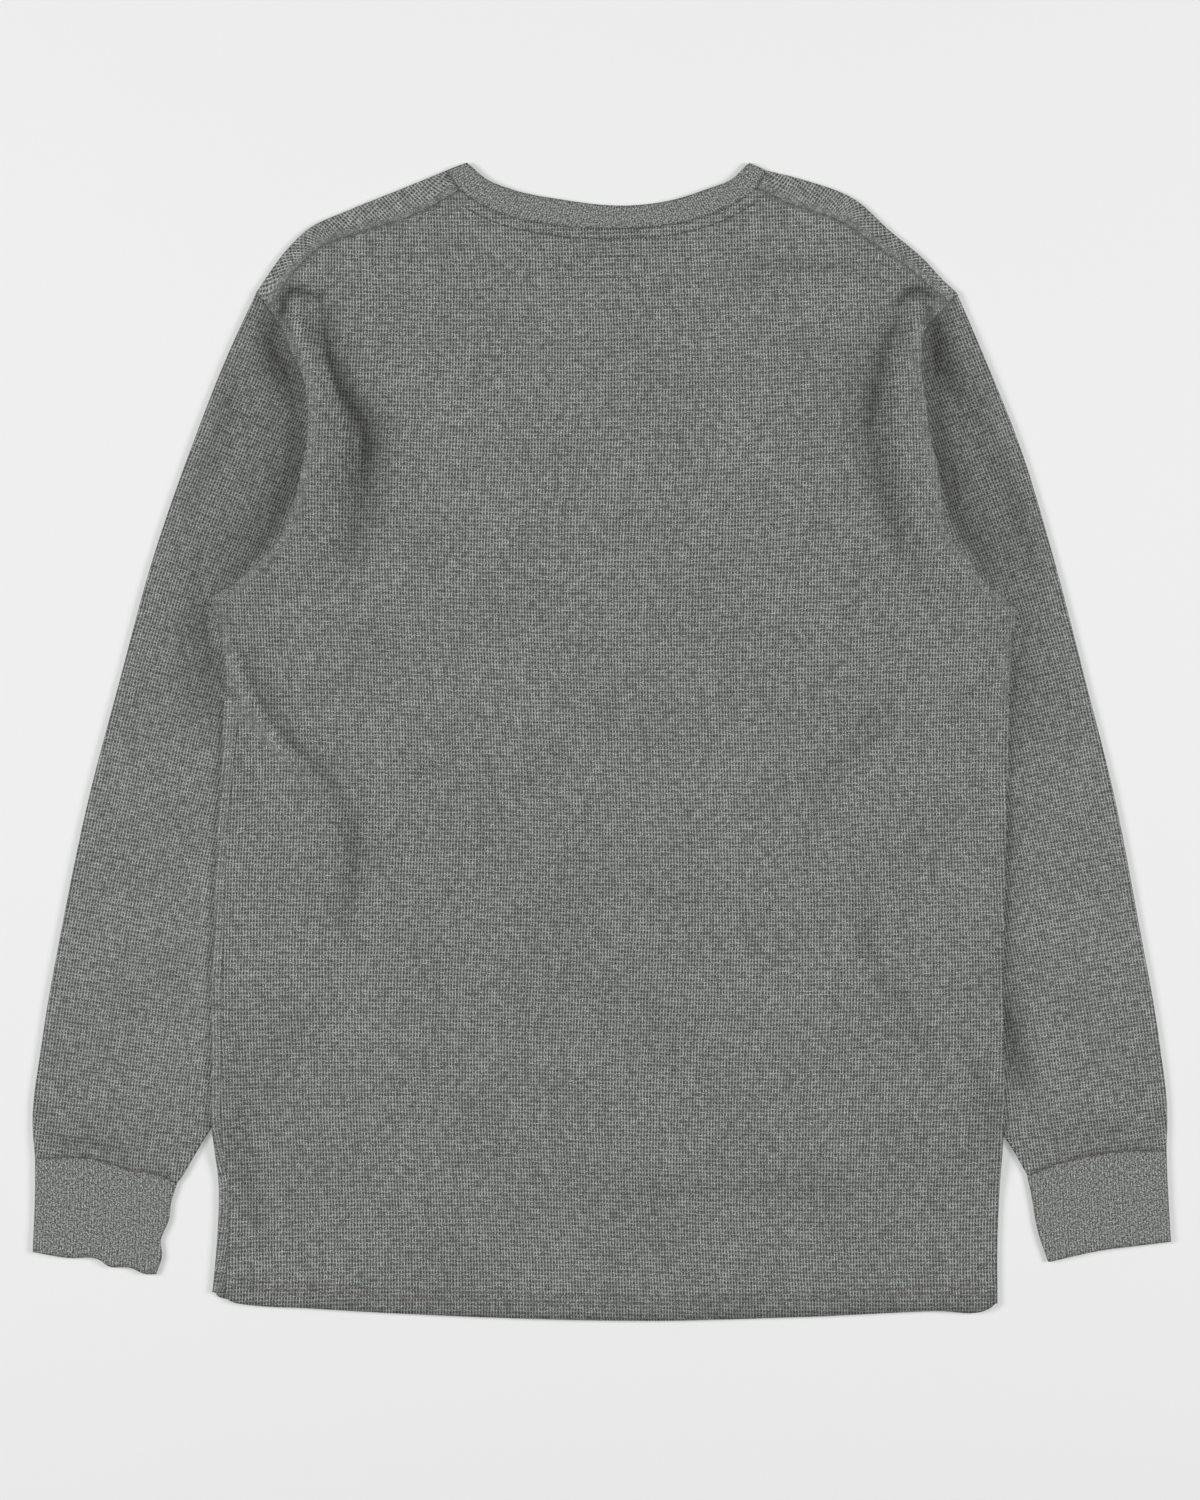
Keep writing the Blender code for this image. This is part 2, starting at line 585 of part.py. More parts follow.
def cuff(side):
    """Flat tube of rib from the sleeve's seam to the wrist."""
    end_rows = LEFT_CUFF_END if side < 0 else RIGHT_CUFF_END
    outer = curve(xy(LEFT_CUFF_OUTER if side < 0 else RIGHT_CUFF_OUTER), even(CUFF_ROWS))
    inner = curve(xy(LEFT_CUFF_INNER if side < 0 else RIGHT_CUFF_INNER), even(CUFF_ROWS))
    outer[:, 0] -= side * FOLD
    inner[:, 0] += side * FOLD
    seam = cuff_seam(side)
    x = np.linspace(outer[-1, 0], inner[-1, 0], SLEEVE_COLUMNS + 1)
    end = np.stack([x, height_at(end_rows, x)], axis=1)
    outer[0], inner[0], outer[-1], inner[-1] = seam[0], seam[-1], end[0], end[-1]
    plan = blend(end, seam, outer[::-1], inner[::-1])
    low, high = np.full(len(plan), GROUND), np.full(len(plan), UPPER)
    return [
        solid(plan, UPPER), solid(plan[:, ::2], GROUND),
        roll(plan[:, 0], np.array([float(side), 0.0]), low, high),
        roll(plan[:, -1], np.array([float(-side), 0.0]), low, high),
    ]


def build():
    for old in list(bpy.data.objects):
        bpy.data.objects.remove(old, do_unlink=True)
    cloth("back_panel", back_panel(), BODY_GREY)
    cloth("front_panel", front_panel(), BODY_GREY)
    cloth("neckband", neckband(), RIB_GREY)
    for name, side in (("left", -1), ("right", 1)):
        cloth(f"sleeve_{name}", sleeve(side), SLEEVE_GREY)
        cloth(f"cuff_{name}", cuff(side), RIB_GREY)


build()
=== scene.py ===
"""Looks of a long-sleeved thermal top in heather grey waffle knit, laid flat with its back up.

Every piece of cloth is a shell worked out on a grid: rows run up the top from the hem to the
shoulders, or down a sleeve, and columns run across. Tables are in millimetres: x to the right as
it lies, y from hem to neck, z up from the ground. "Left" is the side at -x.

Each grid point carries its place, its place in the flat cut (which the knit follows), and three
marks: its distance from a seam, its height above the hem and how far the knit is pressed smooth
there. In the mesh they are point attributes in metres. A fourth attribute is painted shade: how
much the knit's colour is darkened along deep creases, and where it is below 0, how much it is
lightened as painted light. The distance from a seam also darkens the colour there, as painted
shade in the seam's hollow.
"""

import math
from collections import namedtuple

import bmesh
import bpy
import numpy as np
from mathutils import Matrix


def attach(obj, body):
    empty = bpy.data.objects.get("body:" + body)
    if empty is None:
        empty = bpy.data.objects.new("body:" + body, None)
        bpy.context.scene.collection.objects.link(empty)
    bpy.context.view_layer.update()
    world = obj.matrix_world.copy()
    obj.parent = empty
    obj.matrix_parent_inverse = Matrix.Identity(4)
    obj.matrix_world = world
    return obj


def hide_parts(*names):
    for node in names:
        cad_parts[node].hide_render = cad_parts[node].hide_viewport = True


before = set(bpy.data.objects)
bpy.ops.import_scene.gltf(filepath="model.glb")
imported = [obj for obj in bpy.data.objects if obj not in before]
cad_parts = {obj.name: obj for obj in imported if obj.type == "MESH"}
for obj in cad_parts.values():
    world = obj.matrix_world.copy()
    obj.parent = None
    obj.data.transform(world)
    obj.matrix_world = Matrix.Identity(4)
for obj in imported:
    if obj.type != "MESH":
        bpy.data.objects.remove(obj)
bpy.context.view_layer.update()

MM = 0.001

# Cloth and layers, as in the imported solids
WALL = 1.4                     # thickness of the knit
SEAM_GAP = 0.15                # between two pieces at a seam
PAIR = 2.2                     # from the middle of one folded layer to the next
GROUND = WALL / 2              # middle of a layer that lies on the ground
UPPER = GROUND + PAIR          # middle of the layer on it
FOLD = PAIR / 2 + WALL / 2     # a fold's edge stands this far outside its layers' border
SLEEVE_GAP = 0.3               # between a sleeve and the body on it
LIFT = PAIR + WALL + SLEEVE_GAP  # rise of the body where a sleeve lies beneath it
LIFT_MARGIN = 2                # the body is still fully lifted this far beyond the sleeve's edge
LIFT_RAMP = (26, 9)            # and comes down over this width, low down and at the crest,
LIFT_RAMP_FROM = (-190, -70)   # which are at these y
CLEAR = WALL + 0.2             # least distance between the middles of two layers
TUCK = 4                       # a sleeve's edge lies this far under the body below the armpit
SIDE_TURN = 12                 # how far the back panel turns under the right side
ALLOWANCE_STEP = 0.7           # ridge over the cut edge of the seam allowance inside
ALLOWANCE_AT, ALLOWANCE_WIDE = 7.5, 1.1  # its place from the armhole's edge, and its half width
RIM_DIP, RIM_WIDE = 0.06, 14   # the ridge is lower at its edge by this part, over this width
RIM_ENDS = (50, 14)            # and fades so far below the armpit and above the shoulder
EDGE_ROUND = 5                 # width over which a free edge of the body curls down
EDGE_CURL = 1.5                # and by how much
VALLEY = 0.5                   # a sleeve sinks by this much along the body's edge

# Marks, in millimetres, which become metres in the mesh
NO_SEAM, NO_HEM = 99.0, 500.0  # far from any seam or hem
SMOOTH = 1000.0                # quite smooth: 1 once it is in metres

# Fineness of the grids
FINE = 600                     # samples of every smooth curve
READ = 300                     # and of a table that is read at given x
JOINED = 0.02                  # points nearer than this are one
SIDE_ROWS, FREE_ROWS, ARM_ROWS = 100, 18, 84  # beside the body, below the armpit, at the armhole
# Columns from a side of the body to below the neck, as fractions: close where cloth turns or
# rises near the edge, and along the ridge
SIDE_STEPS = np.concatenate([
    [0, 0.009, 0.018, 0.029, 0.039, 0.05, 0.057, 0.064, 0.075, 0.089],
    np.linspace(0.1, 0.4, 32, endpoint=False), np.linspace(0.4, 1, 26),
])
EDGE_COLUMNS = 14              # so many columns move in with an edge that turns under
CROWDED = 0.6                  # and stay at least this far apart
NECK_COLUMNS = 48
SLEEVE_ROWS, SLEEVE_COLUMNS = 180, 36
CUFF_ROWS = 22
BAND_ROWS, BAND_ENDS = 6, 5    # across the neckband, and beyond the back panel at each end
STRIP_ROWS = 7                 # across the front's strips on the shoulders,
SIDE_STRIP_ROWS, TURN_ROWS = 5, 4  # its strip on the left side, and the back's edge turned under
LOWER_STEP = 3                 # a hidden lower layer has one column for so many of the upper
ROLL_STEPS = 6                 # round a fold

# Knit
CELL_WIDE = 2.0                # of the waffle, rib to rib and course to course
CELL_HIGH = 2.65
DRIFT = 1.8                    # how far its rows and ribs wander
DRIFT_LONG = 1000 / 26         # over this length
SPECKLE, GRAINS, STREAKS = 0.54, 0.6, 0.45  # how much of the tone is heather, fibre and streak
FIBRE = 1 / 1.4                # length of a fleck of pale fibre
CLOUD = 62.5                   # length of the faint clouds in the yarn's tone
RIB_FIBRE, RIB_FLECK = 1 / 1.2, 1 / 0.6  # lengths of fine and coarse flecks in the rib
TWIST = 1 / 0.9                # length of one turn of the thread
GRAIN = 2.5                    # of the painted board
RIB_PITCH = 1.9                # the rib's real 1.1 mm, drawn as coarse as it needs to show
# Tone by distance, as the inputs of a range: from, to, and the tone at each. The tone from a seam
# and from a row of stitches is painted shade, a darker line in the seam's hollow and in the furrow
# that the stitches pull; the tone from the hem is darker over the doubled hem.
SEAM_SHADE = {1: 0.2 * MM, 2: 1.2 * MM, 3: 0.86, 4: 1.0}   # from a seam
ROW_SHADE = {1: 0.4 * MM, 2: 1.3 * MM, 3: 0.8, 4: 1.0}     # from a row of stitches
HEM_TONE = {1: 16.5 * MM, 2: 18.0 * MM, 3: 0.93, 4: 1.0}  # from the hem, which is doubled

Point = namedtuple("Point", "x y")
Shoulder = namedtuple("Shoulder", "x y strip")
Armhole = namedtuple("Armhole", "x y rise reach flank lap drop")
Side = namedtuple("Side", "y left right turn")
Fold = namedtuple("Fold", "x1 y1 x2 y2 x3 y3 left right height crease")

# Side edges of the body, with the width of the front cloth turned over the left one
BODY_SIDES = [
    Side(-371, -261, 266, 9), Side(-340, -258, 266, 8), Side(-300, -256.5, 267.5, 6),
    Side(-258, -261, 270, 6.5), Side(-215, -261, 270.5, 7), Side(-170, -261, 270, 7),
    Side(-125, -259.5, 270, 7), Side(-80, -258, 271, 7), Side(-40, -256, 272, 7.5),
    Side(-7, -254, 273, 9), Side(30, -252.5, 273.5, 12),
]
# Edge between there and the armpits, free of the layer beneath
FREE_SIDES = [Side(37, -252, 274, 0), Side(60, -253, 275, 0), Side(78, -257, 278, 0)]

# Armhole edges from the armpit to the shoulder seam. rise: height of the ridge of raised cloth;
# reach: from the edge to the foot of its inner flank; flank: width of that flank; lap and drop:
# how far under the edge, and how far below it, the sleeve is joined.
LEFT_ARMHOLE = [
    Armhole(-261, 97, 4.0, 84, 44, 3, 1.7), Armhole(-250, 103, 6.0, 78, 34, 3, 1.7),
    Armhole(-232, 117, 9.0, 62, 24, 3, 1.7), Armhole(-214, 137, 11.4, 52, 20, 3, 1.7),
    Armhole(-205, 160, 12.0, 44, 15, 3, 1.7), Armhole(-200, 182, 12.2, 39, 12, 3, 1.7),
    Armhole(-196, 205, 12.2, 37, 11, 3, 1.7), Armhole(-196, 225, 12.0, 31, 10, 3, 1.7),
    Armhole(-199, 244, 11.4, 27, 9, 1.5, 2.2), Armhole(-207, 261, 9.0, 26, 9, -0.3, 2.2),
    Armhole(-213, 276, 4.0, 24, 9, -0.3, 1.2), Armhole(-223, 290, 0.6, 15, 9, -0.3, 0),
]
RIGHT_ARMHOLE = [
    Armhole(279, 88, 4.0, 80, 46, 3, 1.7), Armhole(272.5, 95, 5.4, 72, 40, 3, 1.7),
    Armhole(259, 104, 7.6, 60, 30, 3, 1.7), Armhole(245, 123, 10.0, 46, 24, 3, 1.7),
    Armhole(233.5, 137, 11.2, 38, 18, 3, 1.7), Armhole(228.5, 155, 12.0, 37, 16, 3, 1.7),
    Armhole(225.5, 179, 12.4, 39, 15, 3, 1.7), Armhole(220, 203, 12.4, 38, 14, 3, 1.7),
    Armhole(217, 227, 11.6, 34, 13, 1.5, 2.2), Armhole(213.5, 252, 9.6, 26, 11, -0.3, 2.2),
    Armhole(217, 275.5, 4.0, 20, 9, -0.3, 1.2), Armhole(234, 294.4, 0.4, 12, 8, -0.3, 0),
]
LEFT_SHOULDER = [
    Shoulder(-231, 302, 13), Shoulder(-222, 315.5, 12.5), Shoulder(-211, 330, 14),
    Shoulder(-197, 343.5, 14.5), Shoulder(-168.5, 357, 17), Shoulder(-135, 370.5, 19.5),
    Shoulder(-104, 383.2, 18),
]
RIGHT_SHOULDER = [
    Shoulder(239, 300.5, 8.5), Shoulder(229, 310, 9), Shoulder(217, 323, 11),
    Shoulder(193, 343.5, 14), Shoulder(171, 363.5, 18), Shoulder(136, 377, 18.5),
    Shoulder(111, 383.2, 17),
]
HEM = [
    Point(-261, -371), Point(-256, -374.5), Point(-246, -376.5), Point(-190, -380.5),
    Point(-81, -386), Point(33, -388.5), Point(134, -386), Point(226, -382), Point(258, -381.5),
    Point(266, -377),
]
FRONT_HEM_SHORTER = 1.5

# Neckband
NECK_SEAM = [
    Point(-104, 383.2), Point(-95, 370.5), Point(-75, 357.5), Point(-35, 347), Point(10, 344.2),
    Point(53, 348), Point(86.5, 359.5), Point(105, 372.5), Point(111, 383.2),
]
NECK_EDGE = [
    Point(-90, 388.5), Point(-76.5, 377), Point(-60.5, 370.5), Point(-28, 363.7), Point(20, 359.5),
    Point(48, 363.2), Point(71, 370.5), Point(87.5, 377), Point(99.4, 388.5),
]
NECK_REACH = Point(-94.5, 104.5)  # the shoulder seams meet the band's seam at these two x
FRONT_DROP, FRONT_SEAM_DROP = 100, 111  # depth of the front neckline at its edge and its seam
BAND_BULGE = 0.35
NECK_FOOT = Point(-118, 122)      # the columns below the neck spread out to these x at the hem

# Sleeves
LEFT_OUTER = [
    Point(-231, 302), Point(-252, 256), Point(-273, 202.5), Point(-301, 122), Point(-323, 41),
    Point(-344, -39), Point(-361, -120), Point(-375, -200), Point(-381.5, -259),
    Point(-379.8, -280),
]
RIGHT_OUTER = [
    Point(239, 300.5), Point(258, 256), Point(279.5, 202.5), Point(304, 122), Point(325, 41),
    Point(345, -39), Point(360.5, -120), Point(374.5, -200), Point(380, -250), Point(379.5, -275),
]
LEFT_INNER = [
    Point(-242, 33), Point(-221, 4), Point(-190, -24.5), Point(-172, -50), Point(-170, -86),
    Point(-179, -123), Point(-203, -165), Point(-237, -215), Point(-262.5, -258),
    Point(-276, -280), Point(-286, -297),
]
RIGHT_INNER = [
    Point(258, 36), Point(236, 8), Point(204, -18), Point(180, -45), Point(176, -86),
    Point(184, -123), Point(203, -160), Point(232, -210), Point(260, -248), Point(277.5, -273),
    Point(288, -291),
]
LEFT_SPINE = [Point(-241, 330), Point(-320, 130), Point(-379, -110), Point(-410, -330)]
RIGHT_SPINE = [Point(248, 330), Point(323, 130), Point(378, -110), Point(410, -330)]
SLANT_TOP, SLANT_LOW = 0.42, 0.17  # rows slope down to the inside: at the shoulder, low down
SLANT_FROM = (60, 290)         # and change between these y
SLEEVE_PUFF = 1.1              # the upper layer stands this much higher away from the folds
PUFF_WIDTH, PUFF_INNER = 9, 14  # over these widths at its outer fold and under the arm

# Cuffs
CUFF_PUFF, CUFF_BARS = 0.7, 0.3
LEFT_CUFF_SEAM = [
    Point(-379.8, -280), Point(-340, -280.3), Point(-328, -283.5), Point(-316, -287.5),
    Point(-296, -291), Point(-284.5, -297),
]
LEFT_CUFF_END = [
    Point(-381.5, -342.2), Point(-358, -346.2), Point(-337, -347.3), Point(-330, -352),
    Point(-317, -352.6), Point(-304, -357.4), Point(-298.5, -357),
]
LEFT_CUFF_OUTER = [Point(-379.8, -280), Point(-380, -307), Point(-381.5, -343)]
LEFT_CUFF_INNER = [
    Point(-284.5, -297), Point(-288.5, -309), Point(-289.7, -319.7), Point(-295.6, -336),
    Point(-294.5, -344), Point(-298.5, -357),
]
RIGHT_CUFF_SEAM = [
    Point(286, -291.5), Point(306, -283.5), Point(331, -277.5), Point(352, -275),
    Point(379.5, -275),
]
RIGHT_CUFF_END = [
    Point(301, -349), Point(319.5, -344.5), Point(335, -341.3), Point(360.5, -338),
    Point(382, -335.5),
]
RIGHT_CUFF_OUTER = [Point(379.5, -275), Point(380.5, -300), Point(382.5, -335.5)]
RIGHT_CUFF_INNER = [Point(286, -291.5), Point(288.5, -303), Point(293, -328), Point(300, -349)]

# Folds: a line through three points, the width of each side of it as one walks along it, the
# height (below 0 it is a trough), and how sharp its crest is, from 0 to 1.
BODY_FOLDS = [
    Fold(-252, 42, -222, 0, -198, -26, 6, 7, 1.4, 0.5),
    Fold(-194, 248, -201, 275, -206, 299, 8, 7, 7.6, 0.1),
    Fold(-215, 305, -198, 303, -180, 297, 4, 5, -1.6, 0.2),
    Fold(-186, 226, -184, 205, -188, 172, 4, 6, 0.6, 0.2),
    Fold(213, 250, 211, 276, 214, 299, 7, 8, 8.0, 0.1),
    Fold(93, 318, 150, 319, 200, 309, 6, 5, -1.0, 0.2),
    Fold(198, 309, 208, 304, 216, 303, 5, 4, -1.2, 0.2),
    Fold(-244, -268, -233, -312, -226, -330, 10, 8, -0.9, 0.2),
    Fold(-28, -301, 70, -299, 174, -302, 8, 9, -0.5, 0),
    Fold(250, -212, 257, -240, 264, -262, 8, 8, -0.9, 0),
    Fold(191, 122, 197, 41, 172, 4, 14, 18, 0.9, 0),
    Fold(190, -140, 208, -180, 228, -214, 12, 14, 0.9, 0),
    Fold(181, -98, 176, -115, 171, -134, 10, 10, 0.7, 0),
    Fold(-165, -150, -168, -190, -190, -235, 14, 16, 0.6, 0),
]
SLEEVE_FOLDS = [
    Fold(-232, 268, -247, 215, -275, 128, 16, 12, 4.6, 0),
    Fold(-263, 200, -301, 78, -329, -60, 5, 6, -0.5, 0.3),
    Fold(-285, 60, -312, -60, -330, -190, 20, 22, 1.2, 0),
    Fold(-338, -238, -332, -264, -327, -284, 7, 7, 1.0, 0),
    Fold(-352, -246, -350, -266, -350, -281, 6, 6, 0.6, 0),
    Fold(-312, -262, -310, -276, -308, -288, 7, 6, 0.7, 0),
    Fold(240, 268, 258, 209, 288, 130, 12, 15, 4.4, 0),
    Fold(268, 200, 303, 78, 331, -60, 6, 5, -0.5, 0.3),
    Fold(292, 50, 316, -60, 332, -190, 22, 20, 1.2, 0),
    Fold(274, -160, 281, -190, 286, -220, 8, 9, -0.8, 0.1),
    Fold(330, -245, 330, -262, 331, -280, 7, 7, 0.8, 0),
    Fold(352, -240, 354, -258, 355, -277, 6, 6, 0.6, 0),
]

# Painted shade, darkening the knit's colour in the deepest creases: lines as above, with strengths
# up to 1. A strength below 0 is painted light, lightening crests and edges.
BODY_SHADES = [
    Fold(-190, 299, -182, 253, -166, 210, 8, 2, 0.56, 0.8),
    Fold(-170, 230, -159, 206, -160, 178, 15, 3, 0.46, 0.5),
    Fold(-162, 206, -161, 160, -168, 112, 14, 9, 0.28, 0),
    Fold(-213, 286, -208, 302, -189, 299, 2.8, 3.4, 0.8, 0.3),
    Fold(-218, 278, -214, 290, -212, 303, 5, 4, 0.3, 0),
    Fold(-184, 240, -178, 200, -190, 140, 14, 10, 0.12, 0),
    Fold(-207, 292, -202, 272, -192, 240, 4, 5, -0.12, 0),
    Fold(-197, 246, -193, 205, -203, 162, 4, 4, -0.18, 0),
    Fold(-204, 160, -218, 134, -256, 101, 4, 3, -0.14, 0),
    Fold(-262, 92, -250, 96, -234, 108, 6, 6, -0.1, 0),
    Fold(-254, 70, -236, 28, -211, -14, 4.5, 5, -0.24, 0.2),
    Fold(-244, 66, -223, 18, -186, -26, 10, 3, 0.32, 0.5),
    Fold(-184, -22, -167, -62, -173, -124, 6, 7, 0.3, 0.4),
    Fold(202, 294, 189, 254, 180, 210, 4, 12, 0.5, 0.6),
    Fold(181, 226, 184, 185, 202, 126, 11, 10, 0.32, 0),
    Fold(201, 296, 210, 303.5, 224, 297, 3, 3, 0.8, 0.3),
    Fold(213, 299, 218, 289, 222, 277, 2.6, 3, 0.5, 0.2),
    Fold(95, 318, 150, 318, 190, 310, 5, 3, 0.22, 0.3),
    Fold(212, 292, 211, 262, 216, 232, 5, 4, -0.12, 0),
    Fold(217, 240, 223, 185, 236, 138, 4, 5, -0.16, 0),
    Fold(238, 134, 252, 112, 272, 98, 3, 4, -0.12, 0),
    Fold(196, 40, 172, -2, 146, -34, 9, 12, 0.12, 0),
    Fold(180, -104, 178, -124, 180, -146, 6, 6, 0.18, 0),
    Fold(192, -158, 206, -182, 226, -214, 6, 7, 0.2, 0.2),
    Fold(246, -205, 256, -235, 262, -262, 8, 8, 0.22, 0),
    Fold(-248, -248, -236, -300, -226, -332, 9, 8, 0.2, 0),
    Fold(-28, -301, 70, -299, 174, -302, 5, 6, 0.1, 0),
]
# Painted shade and painted light on the sleeves, as above.
SLEEVE_SHADES = [
    Fold(-214, 302, -222, 268, -210, 236, 10, 12, 0.5, 0),
    Fold(-198, 250, -204, 176, -252, 98, 8, 30, 0.52, 0.5),
    Fold(-242, 250, -256, 205, -271, 164, 9, 9, 0.26, 0),
    Fold(-268, 78, -263, 64, -258, 50, 5, 5, 0.14, 0),
    Fold(-266, 96, -264, 50, -255, 4, 8, 26, 0.34, 0.3),
    Fold(-374, -265, -345, -267, -318, -273, 6, 6, 0.2, 0),
    Fold(220, 300, 226, 266, 236, 234, 13, 9, 0.56, 0.2),
    Fold(216, 250, 228, 176, 270, 96, 28, 8, 0.5, 0.5),
    Fold(246, 236, 270, 178, 293, 112, 8, 8, 0.22, 0),
    Fold(281, 88, 280, 46, 278, -6, 20, 8, 0.3, 0.3),
    Fold(276, 0, 274, -110, 276, -190, 6, 8, 0.2, 0),
    Fold(273, -176, 277, -204, 284, -232, 10, 8, 0.5, 0),
    Fold(-260, 0, -264, -110, -268, -220, 3, 8, -0.1, 0),
    Fold(296, -258, 330, -262, 372, -262, 7, 7, 0.12, 0),
]
FOLD_CLEAR = 13                # sleeve folds die out over this distance from the body's edge
FOLD_STEPS = 40                # points on the line of a fold
FOLD_START = 0.1               # it starts and ends at this part of the half sine along it
WAVE = 0.14                    # height of the faint unevenness of all laid cloth
WALES_SWAY, COURSES_SWAY = 2.2, 3.0  # how far the laid knit's lines sway
# The painted shade stays within this range; below 0 it is painted light.
SHADE_RANGE = (-0.3, 0.6)      # the shade stays within these

# Stitching
NECK_STITCH_IN = 7             # from the neck seam to its line of stitches
NECK_STITCH_ENDS = (-92, 103)
HEM_STITCH_UP = (11.5, 16.5)   # the hem's two lines
HEM_STITCH_ENDS = (-250, 262)
CUFF_STITCH_UP = (0.9, 2.6)    # the two lines above each cuff
LABEL_TRACE = (-20, 311, 29.5, 325.5)  # its left, low, right and high line
STITCH_LONG = 3.0
THREAD = 0.42                  # radius of the thread as it shows
TRACE_THREAD = 0.8             # part of it that shows where the label's stitches come through
SPINDLE_RINGS, SPINDLE_SIDES = 5, 6

# Tables by side: -1 is the left, 1 the right
ARMHOLES = {-1: LEFT_ARMHOLE, 1: RIGHT_ARMHOLE}
SHOULDERS = {-1: LEFT_SHOULDER, 1: RIGHT_SHOULDER}
OUTERS = {-1: LEFT_OUTER, 1: RIGHT_OUTER}
INNERS = {-1: LEFT_INNER, 1: RIGHT_INNER}
SPINES = {-1: LEFT_SPINE, 1: RIGHT_SPINE}
CUFF_SEAMS = {-1: LEFT_CUFF_SEAM, 1: RIGHT_CUFF_SEAM}
CUFF_ENDS = {-1: LEFT_CUFF_END, 1: RIGHT_CUFF_END}
CUFF_OUTERS = {-1: LEFT_CUFF_OUTER, 1: RIGHT_CUFF_OUTER}
CUFF_INNERS = {-1: LEFT_CUFF_INNER, 1: RIGHT_CUFF_INNER}

# The board, the lights and the camera, in metres and watts
BOARD_HALF = 30.0
BOARD_TOP = -0.0004            # just under the cloth, so that the two surfaces never meet
LIGHTS = [
    ("left", (-2.9, 0.25, 2.3), 1.4, 74), ("right", (2.9, 0.25, 2.3), 1.4, 69),
    ("overhead", (0.0, 0.1, 3.4), 0.8, 42),
]
SKY = 0.09                     # strength of the even light from all round
CAMERA = (-0.0007, -0.0057, 2.6)
VIEW_HIGH = 1.0074             # height of the view on the ground


def smooth_step(t):
    """0 below 0, 1 above 1, and 3t^2 - 2t^3 between."""
    t = np.clip(t, 0.0, 1.0)
    return t * t * (3 - 2 * t)


def xy(rows):
    """The x and y columns of a table as an array of points."""
    return np.array([(row.x, row.y) for row in rows], float)


def column(rows, name):
    """One column of a table."""
    return np.array([getattr(row, name) for row in rows], float)


def side_line(rows, side):
    """One side's edge, as points, of a table that holds both."""
    return np.stack([column(rows, "left" if side < 0 else "right"), column(rows, "y")], axis=1)


def along(border):
    """Fractions of the way along a border: its summed steps over their total."""
    run = np.concatenate([[0], np.cumsum(np.linalg.norm(np.diff(border, axis=0), axis=1))])
    return run / run[-1]


def even(count):
    """Evenly spaced fractions from 0 to 1."""
    return np.linspace(0, 1, count + 1)


def curve(points, fractions):
    """Smooth curve through the points, read at these fractions of its length.

    Between two points it is the cubic whose slope at each point is that of the line through its
    neighbours. It is sampled finely, and the samples are spaced again by length.
    """
    points = np.asarray(points, float)
    gaps = np.linalg.norm(np.diff(points, axis=0), axis=1)
    at = np.concatenate([[0], np.cumsum(gaps)])
    slopes = np.gradient(points, at, axis=0)
    fine = np.unique(np.concatenate([np.linspace(0, at[-1], FINE), at]))
    left = np.clip(np.searchsorted(at, fine, side="right") - 1, 0, len(gaps) - 1)
    step = gaps[left][:, None]
    t = ((fine - at[left]) / gaps[left])[:, None]
    path = (
        (2 * t**3 - 3 * t**2 + 1) * points[left] + (t**3 - 2 * t**2 + t) * step * slopes[left]
        + (3 * t**2 - 2 * t**3) * points[left + 1] + (t**3 - t**2) * step * slopes[left + 1]
    )
    run = along(path)
    return np.stack([np.interp(fractions, run, path[:, k]) for k in (0, 1)], axis=1)


def height_at(rows, x):
    """y of a left-to-right table at these x, on its smooth curve."""
    path = curve(xy(rows), even(READ))
    return np.interp(x, path[:, 0], path[:, 1])


def normals(border):
    """Unit vectors square to a border, to the right of its direction."""
    run = np.gradient(border, axis=0)
    run /= np.linalg.norm(run, axis=1)[:, None]
    return np.stack([run[:, 1], -run[:, 0]], axis=1)


def nearest(plan, line):
    """Distance of each plan point from a line of points, and how far along the line that is."""
    start, run = line[:-1], np.diff(line, axis=0)
    size = np.linalg.norm(run, axis=1)
    away = plan[..., None, :] - start
    t = np.clip((away * run).sum(-1) / size**2, 0, 1)
    gap = np.linalg.norm(away - t[..., None] * run, axis=-1)
    best = gap.argmin(-1)[..., None]
    before = np.concatenate([[0], np.cumsum(size)])[:-1]
    way = before + t * size
    return np.take_along_axis(gap, best, -1)[..., 0], np.take_along_axis(way, best, -1)[..., 0]


def distance(plan, line):
    """Distance of each plan point from a line of points."""
    return nearest(plan, line)[0]


def fold_height(plan, folds):
    """Ridges and troughs, each height * exp(-(d / width)^(2 - crease)) across its line.

    d is the distance from the line, the width depends on the side, and along the line the height
    swells and fades as a sine to the power 0.7.
    """
    total = np.zeros(plan.shape[:-1])
    for fold in folds:
        line = curve([(fold.x1, fold.y1), (fold.x2, fold.y2), (fold.x3, fold.y3)], even(FOLD_STEPS))
        run = np.gradient(line, axis=0)
        away = plan[..., None, :] - line
        gap = np.linalg.norm(away, axis=-1)
        best = gap.argmin(-1)
        off = np.take_along_axis(away, best[..., None, None], -2)[..., 0, :]
        on_left = run[best][..., 0] * off[..., 1] - run[best][..., 1] * off[..., 0] > 0
        width = np.where(on_left, fold.left, fold.right)
        across = np.exp(-((gap.min(-1) / width) ** (2 - fold.crease)))
        part = FOLD_START + (1 - 2 * FOLD_START) * best / FOLD_STEPS
        total += fold.height * across * np.sin(math.pi * part) ** 0.7
    return total


def waves(plan):
    """Faint unevenness: three crossed sines of unlike lengths."""
    x, y = plan[..., 0], plan[..., 1]
    return WAVE * (
        np.sin(x / 17 + 1.4 * np.sin(y / 47)) + np.sin(y / 23 + 1.2 * np.sin(x / 61) + 1)
        + np.sin((x + y) / 31 + 2)
    )


def table_run(rows, points, names, count):
    """A table's points on a smooth curve, and its named columns, at evenly spaced lengths."""
    at = along(points)
    values = [np.interp(even(count - 1), at, column(rows, name)) for name in names]
    return curve(points, even(count - 1)), values


Edge = namedtuple("Edge", "line turn rise reach flank lap drop")


